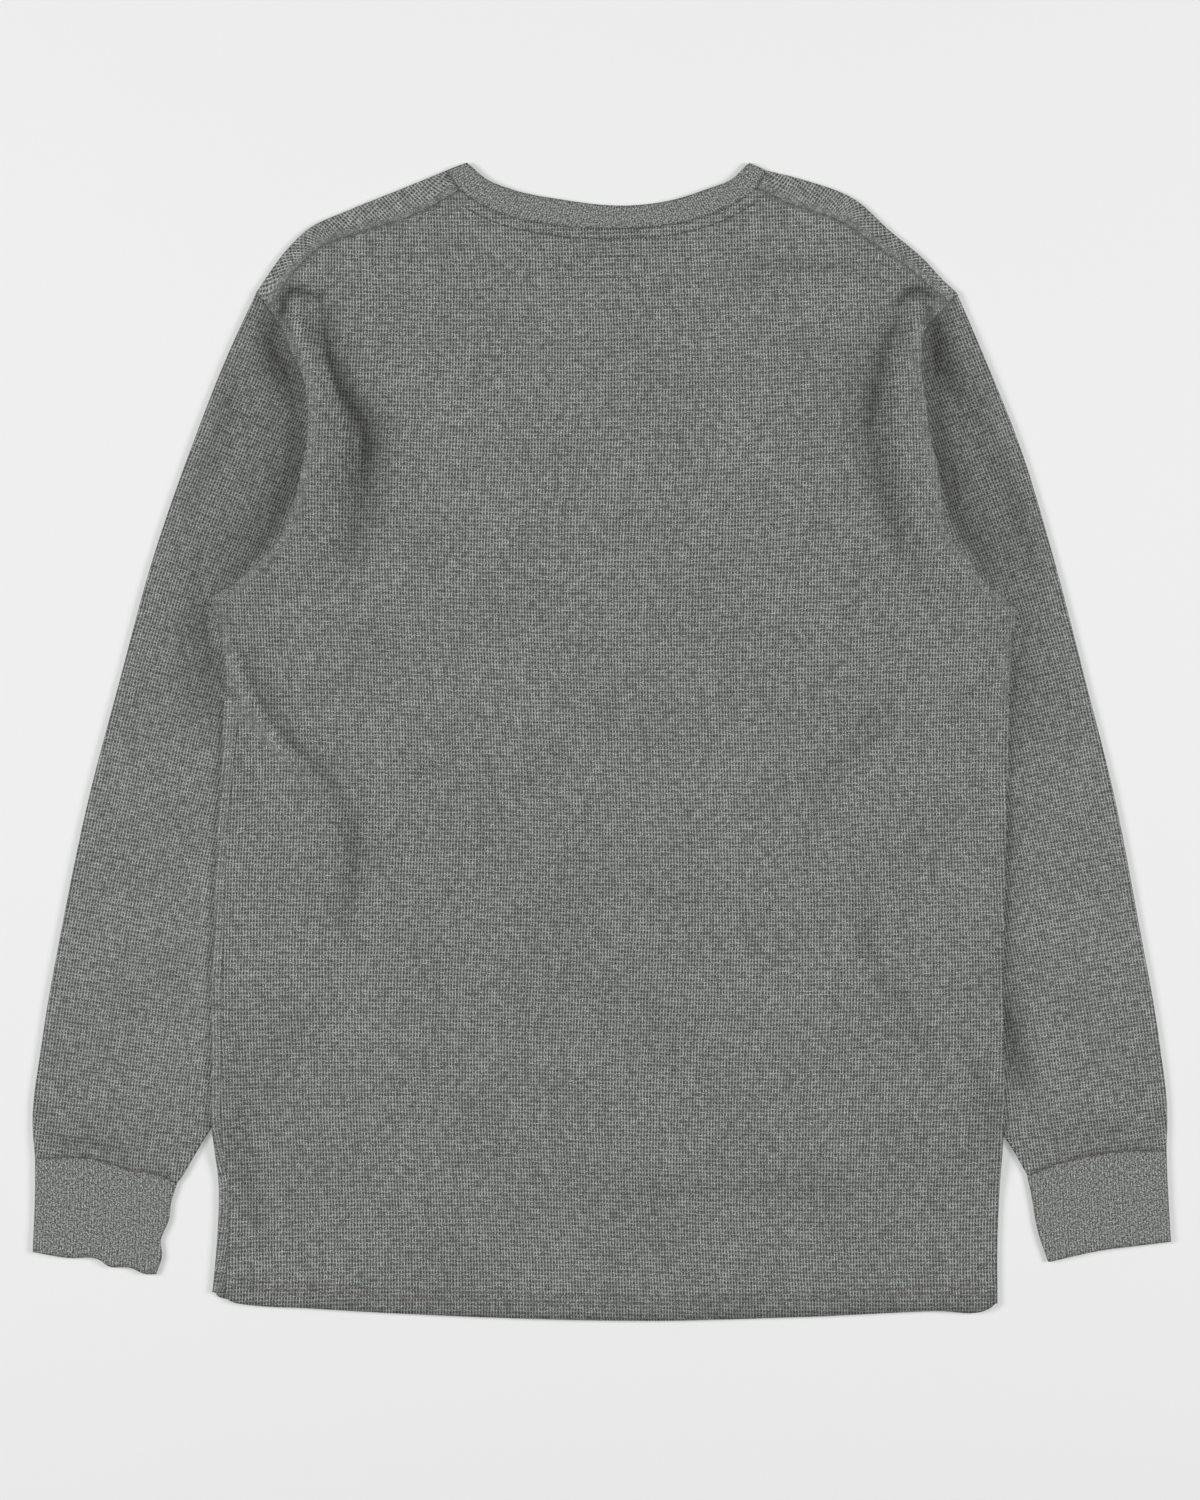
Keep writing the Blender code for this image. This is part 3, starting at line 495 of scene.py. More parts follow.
def body_edge(side):
    """The body's edge on one side, row by row from hem to shoulder, with what its tables say."""
    low, (turn,) = table_run(BODY_SIDES, side_line(BODY_SIDES, side), ["turn"], SIDE_ROWS)
    names = ["rise", "reach", "flank", "lap", "drop"]
    arm, values = table_run(ARMHOLES[side], xy(ARMHOLES[side]), names, ARM_ROWS)
    free = np.concatenate([low[-1:], side_line(FREE_SIDES, side), arm[:1]])
    free = curve(free, even(FREE_ROWS + 1))[1:-1]
    line = np.concatenate([low, free, arm])
    above = SIDE_ROWS + FREE_ROWS
    padded = [np.pad(value, (above, 0), mode="edge") for value in values]
    return Edge(line, np.pad(turn, (0, len(line) - SIDE_ROWS)), *padded)


EDGES = {side: body_edge(side) for side in (-1, 1)}
ARM = slice(SIDE_ROWS + FREE_ROWS, None)  # the armhole's rows, upwards


def by_row(low, free, arm):
    """One value for each row of the body: along the sides, the free edge and the armholes."""
    return np.concatenate([
        np.broadcast_to(low, SIDE_ROWS), np.broadcast_to(free, FREE_ROWS),
        np.broadcast_to(arm, ARM_ROWS),
    ])


def under_line(side):
    """The hidden inner edge of a sleeve, from where it goes under the body."""
    start = side_line(FREE_SIDES, side)[1:2] - [side * TUCK, 0]
    return curve(np.concatenate([start, xy(INNERS[side])]), even(90))


def sleeve_lift(plan):
    """0 to 1: 1 over a sleeve and LIFT_MARGIN beyond its edge, then a smooth fall over the ramp."""
    lift = np.zeros(plan.shape[:-1])
    for side in (-1, 1):
        line = under_line(side)
        border = np.interp(plan[..., 1], line[::-1, 1], line[::-1, 0])
        inside = (side * (plan[..., 0] - border) > 0) & (plan[..., 1] < line[0, 1])
        away = distance(plan, line) * np.where(inside, -1, 1)
        ramp = np.interp(plan[..., 1], LIFT_RAMP_FROM, LIFT_RAMP)
        lift = np.maximum(lift, smooth_step(1 - (away - LIFT_MARGIN) / ramp))
    return lift


def inward_of(plan, side):
    """Distance across from the body's edge on one side, above 0 inside it."""
    line = EDGES[side].line
    return side * (np.interp(plan[..., 1], line[:, 1], line[:, 0]) - plan[..., 0])


def armhole_rise(plan):
    """Raised cloth along the armholes: level from the edge, then down over the flank.

    From a crest at reach - flank it falls as exp(-(t + t^3)), t being the distance from the crest
    over the flank's width. Beyond both ends of an armhole it fades out.
    """
    total = np.zeros(plan.shape[:-1])
    for side in (-1, 1):
        edge = EDGES[side]
        y = edge.line[ARM, 1]
        y = np.concatenate([[y[0] - RIM_ENDS[0]], y, [y[-1] + RIM_ENDS[1]]])
        rise = np.interp(plan[..., 1], y, np.pad(edge.rise[ARM], 1))
        reach = np.interp(plan[..., 1], y, np.pad(edge.reach[ARM], 1, mode="edge"))
        flank = np.interp(plan[..., 1], y, np.pad(edge.flank[ARM], 1, mode="edge"))
        inward = inward_of(plan, side)
        t = np.clip((inward - (reach - flank)) / flank, 0, 4)
        rim = 1 - RIM_DIP + RIM_DIP * smooth_step(inward / RIM_WIDE)
        total += rise * np.exp(-(t + t**3)) * rim
        step = np.exp(-(((inward - ALLOWANCE_AT) / ALLOWANCE_WIDE) ** 2))
        total += ALLOWANCE_STEP * step * np.clip(rise, 0, 1)
    return total


def edge_curl(plan):
    """Free edges of the body curl down: EDGE_CURL * (1 - inward / EDGE_ROUND)^2 near them."""
    total = np.zeros(plan.shape[:-1])
    for side in (-1, 1):
        line = EDGES[side].line
        y = [line[SIDE_ROWS, 1] - 12, line[SIDE_ROWS + 3, 1], line[-10, 1], line[-1, 1]]
        strength = np.interp(plan[..., 1], y, [0, 1, 1, 0], left=0, right=0)
        near = np.clip(1 - inward_of(plan, side) / EDGE_ROUND, 0, 1)
        total += EDGE_CURL * strength * near**2
    return total


def body_low(plan):
    """Middle height of the body's lower layer: on the ground, or on the sleeves."""
    return GROUND + LIFT * sleeve_lift(plan)


def body_top(plan):
    """Middle height of the body's upper layer.

    The fourth powers of what the sleeves and the armholes raise are summed and their fourth root
    taken, which is the greater of the two with a soft join. Folds and waves come on top, and
    nowhere does it come nearer than CLEAR to the lower layer.
    """
    lift = LIFT * sleeve_lift(plan)
    rise = np.maximum(armhole_rise(plan), 0)
    raised = (lift**4 + rise**4) ** 0.25
    top = UPPER + raised + fold_height(plan, BODY_FOLDS) + waves(plan) - edge_curl(plan)
    return np.maximum(top, GROUND + lift + CLEAR)


def layer(plan, height, pattern, marks):
    """Grid of points: place (3), place in the flat cut (2) and marks (3), side by side."""
    shape = plan.shape[:-1]
    parts = [plan, np.broadcast_to(height, shape)[..., None], np.broadcast_to(pattern, (*shape, 2))]
    return np.concatenate(parts + [np.broadcast_to(marks, (*shape, 3))], axis=-1)


def roll(border, outward, low, high, pattern, way, from_top, marks):
    """Half-round turn outside a border from height low to height high.

    With radius r and angle a from 0 to pi, a point stands r sin(a) outside the border, at
    low + r (1 - cos(a)). The cut runs on along `way` by the length of the turn.
    """
    turn = np.linspace(0, math.pi, ROLL_STEPS + 1)[:, None]
    radius = (high - low) / 2
    plan = border + outward * (radius * np.sin(turn))[..., None]
    run = radius * (math.pi - turn if from_top else turn)
    flat = pattern + way * run[..., None]
    return layer(plan, low + radius * (1 - np.cos(turn)), flat, marks)


def flatten(patches):
    """All patches as one list of points and one of quads, joined where points meet."""
    points, quads, start = [], [], 0
    for patch in patches:
        rows, columns = patch.shape[:2]
        index = np.arange(rows * columns).reshape(rows, columns) + start
        corners = [index[:-1, :-1], index[:-1, 1:], index[1:, 1:], index[1:, :-1]]
        quads.append(np.stack(corners, axis=-1).reshape(-1, 4))
        points.append(patch.reshape(-1, patch.shape[-1]))
        start += rows * columns
    points, quads = np.concatenate(points), np.concatenate(quads)
    keys = np.round(points[:, :3] / JOINED).astype(np.int64)
    _, first, place = np.unique(keys, axis=0, return_index=True, return_inverse=True)
    quads = place.reshape(-1)[quads]
    whole = (np.diff(np.sort(quads, axis=1), axis=1) > 0).all(axis=1)
    return points[first], quads[whole]


def mesh_piece(name, points, faces, material):
    """Object at the origin from points in millimetres and faces, with its material."""
    mesh = bpy.data.meshes.new(name)
    mesh.from_pydata((points * MM).tolist(), [], faces.tolist())
    mesh.materials.append(material)
    piece = bpy.data.objects.new(name, mesh)
    bpy.context.collection.objects.link(piece)
    return piece


def cloth(name, patches, material, slot, shades):
    """Piece of knit: the patches as its middle surface, given the wall's thickness.

    The place in the cut and the marks become point attributes, in metres, and so does the painted
    shade (painted light where it is below 0), which is worked out as the folds' height is.
    """
    points, quads = flatten(patches)
    piece = mesh_piece(name, points[:, :3], quads, material)
    mesh = piece.data
    for title, values in (("cut", points[:, 3:5]), ("marks", points[:, 5:8])):
        data = mesh.attributes.new(title, "FLOAT_VECTOR", "POINT").data
        values = np.pad(values, ((0, 0), (0, 3 - values.shape[1]))) * MM
        data.foreach_set("vector", values.astype(np.float32).ravel())
    # Painted shade for the colour, from the piece's table of shaded lines, clipped; below 0 it is
    # painted light.
    shade = np.clip(fold_height(points[:, :2], shades), *SHADE_RANGE).astype(np.float32)
    mesh.attributes.new("shade", "FLOAT", "POINT").data.foreach_set("value", shade)
    shape = bmesh.new()
    shape.from_mesh(mesh)
    bmesh.ops.recalc_face_normals(shape, faces=shape.faces)
    shape.to_mesh(mesh)
    shape.free()
    mesh.shade_smooth()
    wall = piece.modifiers.new("wall", "SOLIDIFY")
    wall.thickness = WALL * MM
    wall.offset = 0
    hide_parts(slot)
    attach(piece, "root")
    return piece


def shoulder(side):
    """One shoulder, from its point to the neck: fold line, way inwards, and seam on the back.

    Over the last 12% at both ends, seam and way turn to meet the armhole's and the neck's corner.
    """
    rows = SHOULDERS[side]
    fold = curve(xy(rows), SIDE_STEPS)
    inward = normals(fold) * -side
    strip = np.interp(along(fold), along(xy(rows)), column(rows, "strip"))
    seam = fold + inward * strip[:, None]
    corners = [(0, xy(ARMHOLES[side])[-1], along(fold)),
               (-1, neck_reach()[0 if side < 0 else -1], 1 - along(fold))]
    for end, point, away in corners:
        near = (1 - smooth_step(away / 0.12))[:, None]
        seam += near * (point - seam[end])
        way = (point - fold[end]) / np.linalg.norm(point - fold[end])
        inward += near * (way - inward[end])
    inward /= np.linalg.norm(inward, axis=1)[:, None]
    return fold, inward, seam


def neck_reach():
    """The neckband's seam across the back, as far as the back panel goes."""
    whole = curve(xy(NECK_SEAM), even(400))
    ends = [np.argmin(np.abs(whole[:, 0] - x)) for x in NECK_REACH]
    return curve(whole[ends[0]:ends[1] + 1], even(NECK_COLUMNS))


def band_seam():
    """The neckband's whole seam on the back, between the borders of its two creases."""
    reach = neck_reach()
    ends = []
    for side, start in ((-1, 0), (1, -1)):
        fold, inward, _ = shoulder(side)
        corner = fold[-1] + inward[-1] * FOLD
        ends.append(corner + even(BAND_ENDS)[:-1, None] * (reach[start] - corner))
    return np.concatenate([ends[0], reach, ends[1][::-1]])


def front_neck(drop, left, right, count):
    """Neckline of the front: x as a cosine from left to right, depth drop * sine^1.5."""
    turn = np.linspace(0, math.pi, count + 1)[:, None]
    middle, half = (left + right) / 2, (right - left) / 2
    return middle - half * np.cos(turn) - [0, drop] * np.sin(turn) ** 1.5


def body_plan(top):
    """Plan of a body panel out to the body's edges, below a given top border.

    A point's x comes from its column and its y from its row. The shape of each side fades into
    the panel with the cube of the way across, that of the hem with the cube of the way up to the
    armpits, and that of the top with the square of the way down to them.
    """
    left, right = EDGES[-1].line.copy(), EDGES[1].line.copy()
    left[-1], right[-1] = top[0], top[-1]
    x = np.concatenate([
        left[0, 0] + (NECK_FOOT.x - left[0, 0]) * SIDE_STEPS,
        np.linspace(NECK_FOOT.x, NECK_FOOT.y, NECK_COLUMNS + 1)[1:],
        right[0, 0] + (NECK_FOOT.y - right[0, 0]) * SIDE_STEPS[-2::-1],
    ])
    hem = height_at(HEM, x)
    left[0, 1], right[0, 1] = hem[0], hem[-1]
    u = (x - x[0]) / (x[-1] - x[0])
    rows = ((left + right) / 2)[:, 1]
    pit = rows[SIDE_ROWS + FREE_ROWS]
    low = (np.clip((pit - rows) / (pit - rows[0]), 0, 1) ** 3)[:, None]
    high = (np.clip((rows - pit) / (rows[-1] - pit), 0, 1) ** 2)[:, None]
    base = (1 - high) * x + high * top[:, 0]
    across = (
        base + (1 - u) ** 3 * (left[:, :1] - base[:, :1]) + u ** 3 * (right[:, :1] - base[:, -1:])
    )
    line = (1 - u) * left[:, 1:] + u * right[:, 1:]
    upward = line + low * (hem - line[0]) + high * (top[:, 1] - line[-1])
    return np.stack([across, upward], axis=-1)


def keep_apart(plan, rows):
    """Columns near both sides give way to a border moved in: column k stays k * CROWDED inside."""
    step = CROWDED * np.arange(1, EDGE_COLUMNS)
    x = plan[rows, :, 0]
    x[:, 1:EDGE_COLUMNS] = np.maximum(x[:, 1:EDGE_COLUMNS], x[:, :1] + step)
    x[:, -EDGE_COLUMNS:-1] = np.minimum(x[:, -EDGE_COLUMNS:-1], x[:, -1:] - step[::-1])


def neck_gap():
    """The panels' side of the neckband's seam on the back."""
    seam = band_seam()
    return seam + normals(seam) * SEAM_GAP


def knit_wander(plan):
    """Where the knit lies in the cut: the plan plus slow sines, so that its lines sway."""
    x, y = plan[..., 0], plan[..., 1]
    wales = WALES_SWAY * np.sin(y / 53 + x / 140)
    courses = COURSES_SWAY * np.sin(x / 97 + y / 260 + 1)
    return plan + np.stack([wales, courses], axis=-1)


def panel_marks(plan, neck):
    """Distance from the neck seam, height above the hem, and how smooth the knit is pressed.

    It is pressed over the allowance up to 6 mm from the armholes, up to 1.5 mm from the shoulder
    seams, and along the crest of the fold below the left armpit.
    """
    armholes = np.minimum(*(distance(plan, EDGES[side].line[SIDE_ROWS::2]) for side in (-1, 1)))
    shoulders = np.minimum(*(distance(plan, shoulder(side)[2]) for side in (-1, 1)))
    crest = fold_height(plan, [BODY_FOLDS[0]._replace(left=4, right=4, height=1, crease=0)])
    pressed = np.maximum.reduce([
        0.6 * (1 - smooth_step((armholes - 6) / 2)), 1 - smooth_step((shoulders - 1.5) / 1.5),
        0.8 * crest,
    ])
    above = plan[..., 1] - height_at(HEM, plan[..., 0])
    return np.stack([distance(plan, neck[::3]), above, SMOOTH * pressed], axis=-1)


def back_panel():
    """Upper layer of the body. Its right side turns under; the other borders end in seams."""
    neck = neck_gap()[BAND_ENDS:-BAND_ENDS]
    left, right = shoulder(-1)[2], shoulder(1)[2]
    plan = body_plan(np.concatenate([left[:-1], neck, right[-2::-1]]))
    plan[:, 0, 0] += by_row(EDGES[-1].turn[:SIDE_ROWS], 0, 0)
    plan[:, -1, 0] -= by_row(FOLD, 0, 0)
    low = slice(0, SIDE_ROWS)
    keep_apart(plan, low)
    marks = panel_marks(plan, neck)
    pattern = knit_wander(plan)
    fold, cut, mark = plan[low, -1], pattern[low, -1], marks[low, -1]
    way = np.array([1.0, 0.0])
    below, above = body_low(fold), body_top(fold)
    span = (SIDE_TURN - FOLD) * even(TURN_ROWS)[:, None]
    under = fold - span[..., None] * way
    cut_under = cut + way * (math.pi * (above - below) / 2 + span)[..., None]
    return [
        layer(plan, body_top(plan), pattern, marks),
        roll(fold, way, below, above, cut, way, True, mark),
        layer(under, body_low(under), cut_under, mark),
    ]


def front_panel():
    """Lower layer of the body. It turns up over the left side and over both shoulders.

    Each of the three borders goes round a half-round roll and on as a strip on the upper layer.
    """
    neck = neck_gap()
    shoulders = {side: shoulder(side) for side in (-1, 1)}
    borders = {}
    for side, end in ((-1, 0), (1, -1)):
        fold, inward, _ = shoulders[side]
        borders[side] = fold + inward * FOLD
        borders[side][-1] = neck[end]
    oval = front_neck(FRONT_SEAM_DROP, *band_seam()[[0, -1]], NECK_COLUMNS)
    oval += normals(oval) * SEAM_GAP
    plan = body_plan(np.concatenate([borders[-1], oval[1:-1], borders[1][::-1]]))
    free = TUCK + FOLD + 2 * SEAM_GAP
    insets = {}
    for side in (-1, 1):
        lap = EDGES[side].lap[ARM] + SEAM_GAP
        lap[-4:] = 0  # at the shoulder's point the border runs into the fold
        insets[side] = by_row(FOLD if side < 0 else SIDE_TURN + SEAM_GAP, free, lap)
    plan[:, 0, 0] += insets[-1]
    plan[:, -1, 0] -= insets[1]
    keep_apart(plan, slice(None))
    plan[0, :, 1] += FRONT_HEM_SHORTER
    above_hem = plan[..., 1] - height_at(HEM, plan[..., 0])
    marks = np.stack([NO_SEAM + 0 * above_hem, above_hem, 0 * above_hem], axis=-1)
    low = slice(0, SIDE_ROWS)
    fold = plan[low, 0]
    way = np.array([-1.0, 0.0])
    below, above = body_low(fold), body_top(fold)
    mark = marks[low, 0] + [0, 0, 0.3 * SMOOTH]
    span = even(SIDE_STRIP_ROWS)[:, None] * (EDGES[-1].turn[low] - FOLD - SEAM_GAP)
    over = fold - span[..., None] * way
    cut_over = fold + way * (math.pi * (above - below) / 2 + span)[..., None]
    patches = [
        layer(plan, body_low(plan), plan, marks),
        roll(fold, way, below, above, fold, way, False, mark),
        layer(over, body_top(over), cut_over, mark),
    ]
    corners = {-1: neck[:BAND_ENDS + 1], 1: neck[-BAND_ENDS - 1:]}
    for side, meeting in ((-1, -1), (1, 0)):
        border, (_, inward, seam) = borders[side], shoulders[side]
        seam[-1] = corners[side][meeting]
        seam -= inward * SEAM_GAP
        below, above = body_low(border), body_top(border)
        mark = np.array([NO_SEAM, NO_HEM, 0.0])
        patches.append(roll(border, -inward, below, above, border, -inward, False, mark))
        strip = border + even(STRIP_ROWS)[:, None, None] * (seam - border)
        width = np.linalg.norm(strip - border, axis=-1)
        flat = border - inward * (math.pi * (above - below) / 2 + width)[..., None]
        from_seam = np.linalg.norm(seam - border, axis=-1) - width
        pressed = SMOOTH * (1 - smooth_step((from_seam - 3.5) / 2))
        marks = [distance(strip, corners[side]), NO_HEM + 0 * pressed, pressed]
        patches.append(layer(strip, body_top(strip), flat, np.stack(marks, axis=-1)))
    return patches


def neckband():
    """One loop: across the back on the upper layer, round two creases, and the front below.

    Its cut is straight: along the band, and across it from seam to free edge. The back stands
    up in the middle of its depth as a sine.
    """
    seam_back = band_seam()
    edge_back = curve(xy(NECK_EDGE), along(seam_back))
    ends = [(0, shoulder(-1)[1][-1], [-1.0, 0.0]), (-1, shoulder(1)[1][-1], [1.0, 0.0])]
    for end, inward, _ in ends:
        edge_back[end] = xy(NECK_EDGE)[end] + inward * FOLD
    seam_front = front_neck(FRONT_SEAM_DROP, seam_back[0], seam_back[-1], NECK_COLUMNS)
    edge_front = front_neck(FRONT_DROP, edge_back[0], edge_back[-1], NECK_COLUMNS)
    part = even(BAND_ROWS)[:, None, None]
    halves = [(seam_back, edge_back, UPPER, BAND_BULGE, 1),
              (seam_front, edge_front, GROUND, 0, -1)]
    patches = []
    for seam, edge, height, bulge, way in halves:
        plan = seam + part * (edge - seam)
        deep = np.linalg.norm(plan - seam, axis=-1)
        length = along(seam) * np.linalg.norm(np.diff(seam, axis=0), axis=1).sum()
        cut = np.stack([np.broadcast_to(way * length, deep.shape), deep], axis=-1)
        marks = np.stack([deep, deep[-1] - deep, 0 * deep], axis=-1)
        raised = bulge * np.sin(math.pi * part[..., 0]) * smooth_step(deep[-1] / 20)
        patches.append(layer(plan, height + raised, cut, marks))
    low = np.full(BAND_ROWS + 1, GROUND)
    for end, inward, way in ends:
        back = patches[0][:, end]
        patches.append(roll(back[:, :2], -inward, low, back[:, 2], back[:, 3:5], np.array(way),
                            True, back[:, 5:]))
    return patches


def cuff_seam(side):
    """Nodes of a cuff's seam from the outer fold's border to the inner one's."""
    rows = CUFF_SEAMS[side]
    ends = xy(rows)[[0, -1], 0] + [FOLD, -FOLD]
    x = np.linspace(*ends, SLEEVE_COLUMNS + 1)[::-side]
    return np.stack([x, height_at(rows, x)], axis=1)


def blend(bottom, top, left, right):
    """Plan points of a patch between four borders that share their corners (a Coons patch).

    Each point is the mix of left and right, plus the mix of bottom and top, less the mix of the
    four corners.
    """
    u = ((along(bottom) + along(top)) / 2)[None, :, None]
    v = ((along(left) + along(right)) / 2)[:, None, None]
    across = (1 - u) * left[:, None] + u * right[:, None]
    upward = (1 - v) * bottom[None] + v * top[None]
    corners = (
        (1 - u) * (1 - v) * bottom[0] + u * (1 - v) * bottom[-1]
        + (1 - u) * v * top[0] + u * v * top[-1]
    )
    return across + upward - corners


def sleeve_borders(side):
    """Outer and inner borders of one sleeve in plan, row by row, from the shoulder down.

    Also its lower end, and how many of its rows are joined to the body.
    """
    fold, way, seam = shoulder(side)
    square = np.array([way[0, 1], -way[0, 0]]) * -side  # from the body to the sleeve
    edge = EDGES[side]
    rim = (edge.line - side * np.stack([edge.lap, 0 * edge.lap], axis=1))[ARM][::-1]
    rim[0] = seam[0] + square * SEAM_GAP
    free = side_line(FREE_SIDES, side)[:0:-1] - [side * TUCK, 0]
    low = np.concatenate([rim[-1:], free, xy(INNERS[side])])
    inner = np.concatenate([rim, curve(low, even(SLEEVE_ROWS - len(rim) + 1))[1:]])
    outline = curve(xy(OUTERS[side]), even(400))[::-1]
    slant = np.interp(inner[:, 1], SLANT_FROM, [SLANT_LOW, SLANT_TOP])
    wide = np.abs(np.interp(inner[:, 1], outline[:, 1], outline[:, 0]) - inner[:, 0])
    y = np.maximum(inner[:, 1] + slant * wide, outline[0, 1])
    y = np.minimum.accumulate(y - 1e-3 * np.arange(len(y)))
    outer = np.stack([np.interp(y, outline[:, 1], outline[:, 0]) - side * FOLD, y], axis=1)
    outer[0] = fold[0] + way[0] * FOLD + square * SEAM_GAP
    end = cuff_seam(side) + [0, SEAM_GAP]
    outer[-1], inner[-1] = end[0], end[-1]
    return outer, inner, end, len(rim)


def sleeve(side):
    """Flat tube of knit: lower layer, upper layer, the outer fold and the fold under the arm.

    The cut follows the sleeve's spine, a line beyond its outer fold: the distance from it, and the
    way down it. The upper layer stands a little higher away from the folds, by
    puff * (1 - exp(-d / width)). At the armhole its edge rises to the body's and comes down within
    10 mm, and beside the body's free edge a shallow valley runs, exp(-((d - 7) / 5)^2). Folds and
    puff fade out towards both. Beneath the body it stays level.
    """
    outer, inner, end, joined = sleeve_borders(side)
    top = outer[0] + even(SLEEVE_COLUMNS)[:, None] * (inner[0] - outer[0])
    plan = blend(end, top, outer[::-1], inner[::-1])[::-1]
    edge = EDGES[side]
    outside = smooth_step(1 - (inward_of(plan, side) + 2) / 4)
    from_body = distance(plan, edge.line[::2])
    clear = smooth_step(from_body / FOLD_CLEAR) * outside * smooth_step(distance(plan, end) / 9)
    rim = (body_top(edge.line) + edge_curl(edge.line) - edge.drop - UPPER)[ARM][::-1]
    row = np.arange(len(plan))
    rise = np.pad(rim, (0, len(plan) - joined), mode="linear_ramp", end_values=0)
    rise *= 1 - smooth_step((row - joined) / 6)
    across, way_down = nearest(plan, curve(xy(SPINES[side]), even(120)))
    from_outer = distance(plan, outer[::2])
    from_inner = distance(plan, inner[joined:][::2])
    puff = SLEEVE_PUFF * (1 - np.exp(-from_outer / PUFF_WIDTH))
    puff *= smooth_step(from_inner / PUFF_INNER)
    valley = VALLEY * np.exp(-(((from_body - 7) / 5) ** 2)) * outside
    height = UPPER + (fold_height(plan, SLEEVE_FOLDS) + puff + waves(plan)) * clear - valley
    height += rise[:, None] * (1 - smooth_step(from_body / 10))
    height[:joined, -1] = UPPER + rim
    height[:, 0] = UPPER
    height[-1] = UPPER
    height = np.maximum(height, GROUND + CLEAR)
    covered = inward_of(plan, side) > 0
    covered[:joined] = False
    height = np.where(covered, np.minimum(height, UPPER), height)
    cut = np.stack([across, -way_down], axis=-1)
    seam = np.minimum(distance(plan, end[::2]) + 0.3, NO_SEAM)
    pressed = 1 - smooth_step((distance(plan, inner[:joined:2]) - 1.5) / 2)
    marks = np.stack([seam, NO_HEM + 0 * seam, 0.8 * SMOOTH * pressed], axis=-1)
    upper = layer(plan, height, cut, marks)
    columns = slice(None, None, LOWER_STEP)
    turned = math.pi * (height[:, :1] - GROUND) / 2
    cut_low = np.stack([-across - turned, -way_down], axis=-1)
    outward = np.tile([float(side), 0.0], (len(plan), 1))
    outward += (1 - smooth_step(row / 5))[:, None] * (-shoulder(side)[1][0] - outward)
    low = np.full(len(plan), GROUND)
    way = np.array([-1.0, 0.0])
    rows = slice(joined, None)
    return [
        upper,
        layer(plan[:, columns], GROUND, cut_low[:, columns], marks[:, columns]),
        roll(plan[:, 0], outward, low, height[:, 0], cut[:, 0], way, True, marks[:, 0]),
        roll(plan[rows, -1], np.array([-side, 0.0]), low[rows], height[rows, -1],
             cut[rows, -1], -way, True, marks[rows, -1]),
    ]


def cuff(side):
    """Flat tube of rib from the sleeve's seam to the wrist.

    The upper layer stands a little higher away from both folds, by puff * (1 - exp(-d / 6)) for
    each. Soft bars run down from the seam where the sleeve is gathered: sines across the cuff
    that fade out as exp(-way / 30).
    """
    outer = curve(xy(CUFF_OUTERS[side]), even(CUFF_ROWS))
    inner = curve(xy(CUFF_INNERS[side]), even(CUFF_ROWS))
    outer[:, 0] -= side * FOLD
    inner[:, 0] += side * FOLD
    seam = cuff_seam(side)
    x = np.linspace(outer[-1, 0], inner[-1, 0], SLEEVE_COLUMNS + 1)
    end = np.stack([x, height_at(CUFF_ENDS[side], x)], axis=1)
    outer[0], inner[0], outer[-1], inner[-1] = seam[0], seam[-1], end[0], end[-1]
    plan = blend(end, seam, outer[::-1], inner[::-1])
    across = np.linalg.norm(plan - plan[:, :1], axis=-1)
    down = distance(plan, seam)
    bars = CUFF_BARS * np.sin(across / 4.3 + 0.8 * np.sin(across / 11)) * np.exp(-down / 30)
    puff = CUFF_PUFF * (1 - np.exp(-across / 6)) * (1 - np.exp(-across[:, ::-1] / 6))
    ends = smooth_step(down / 5) * smooth_step(distance(plan, end) / 4)
    height = np.maximum(UPPER + (bars + puff) * ends, GROUND + CLEAR)
    height[:, [0, -1]] = UPPER
    cut = np.stack([across, -down], axis=-1)
    marks = np.stack([down, distance(plan, end), 0 * down], axis=-1)
    cut_low = np.stack([-across - math.pi * PAIR / 2, -down], axis=-1)
    lower = slice(None, None, LOWER_STEP)
    low, high = np.full(len(plan), GROUND), np.full(len(plan), UPPER)
    way = np.array([-1.0, 0.0])
    return [
        layer(plan, height, cut, marks),
        layer(plan[:, lower], GROUND, cut_low[:, lower], marks[:, lower]),
        roll(plan[:, 0], np.array([float(side), 0.0]), low, high, cut[:, 0], way, True,
             marks[:, 0]),
        roll(plan[:, -1], np.array([float(-side), 0.0]), low, high, cut[:, -1], -way, True,
             marks[:, -1]),
    ]


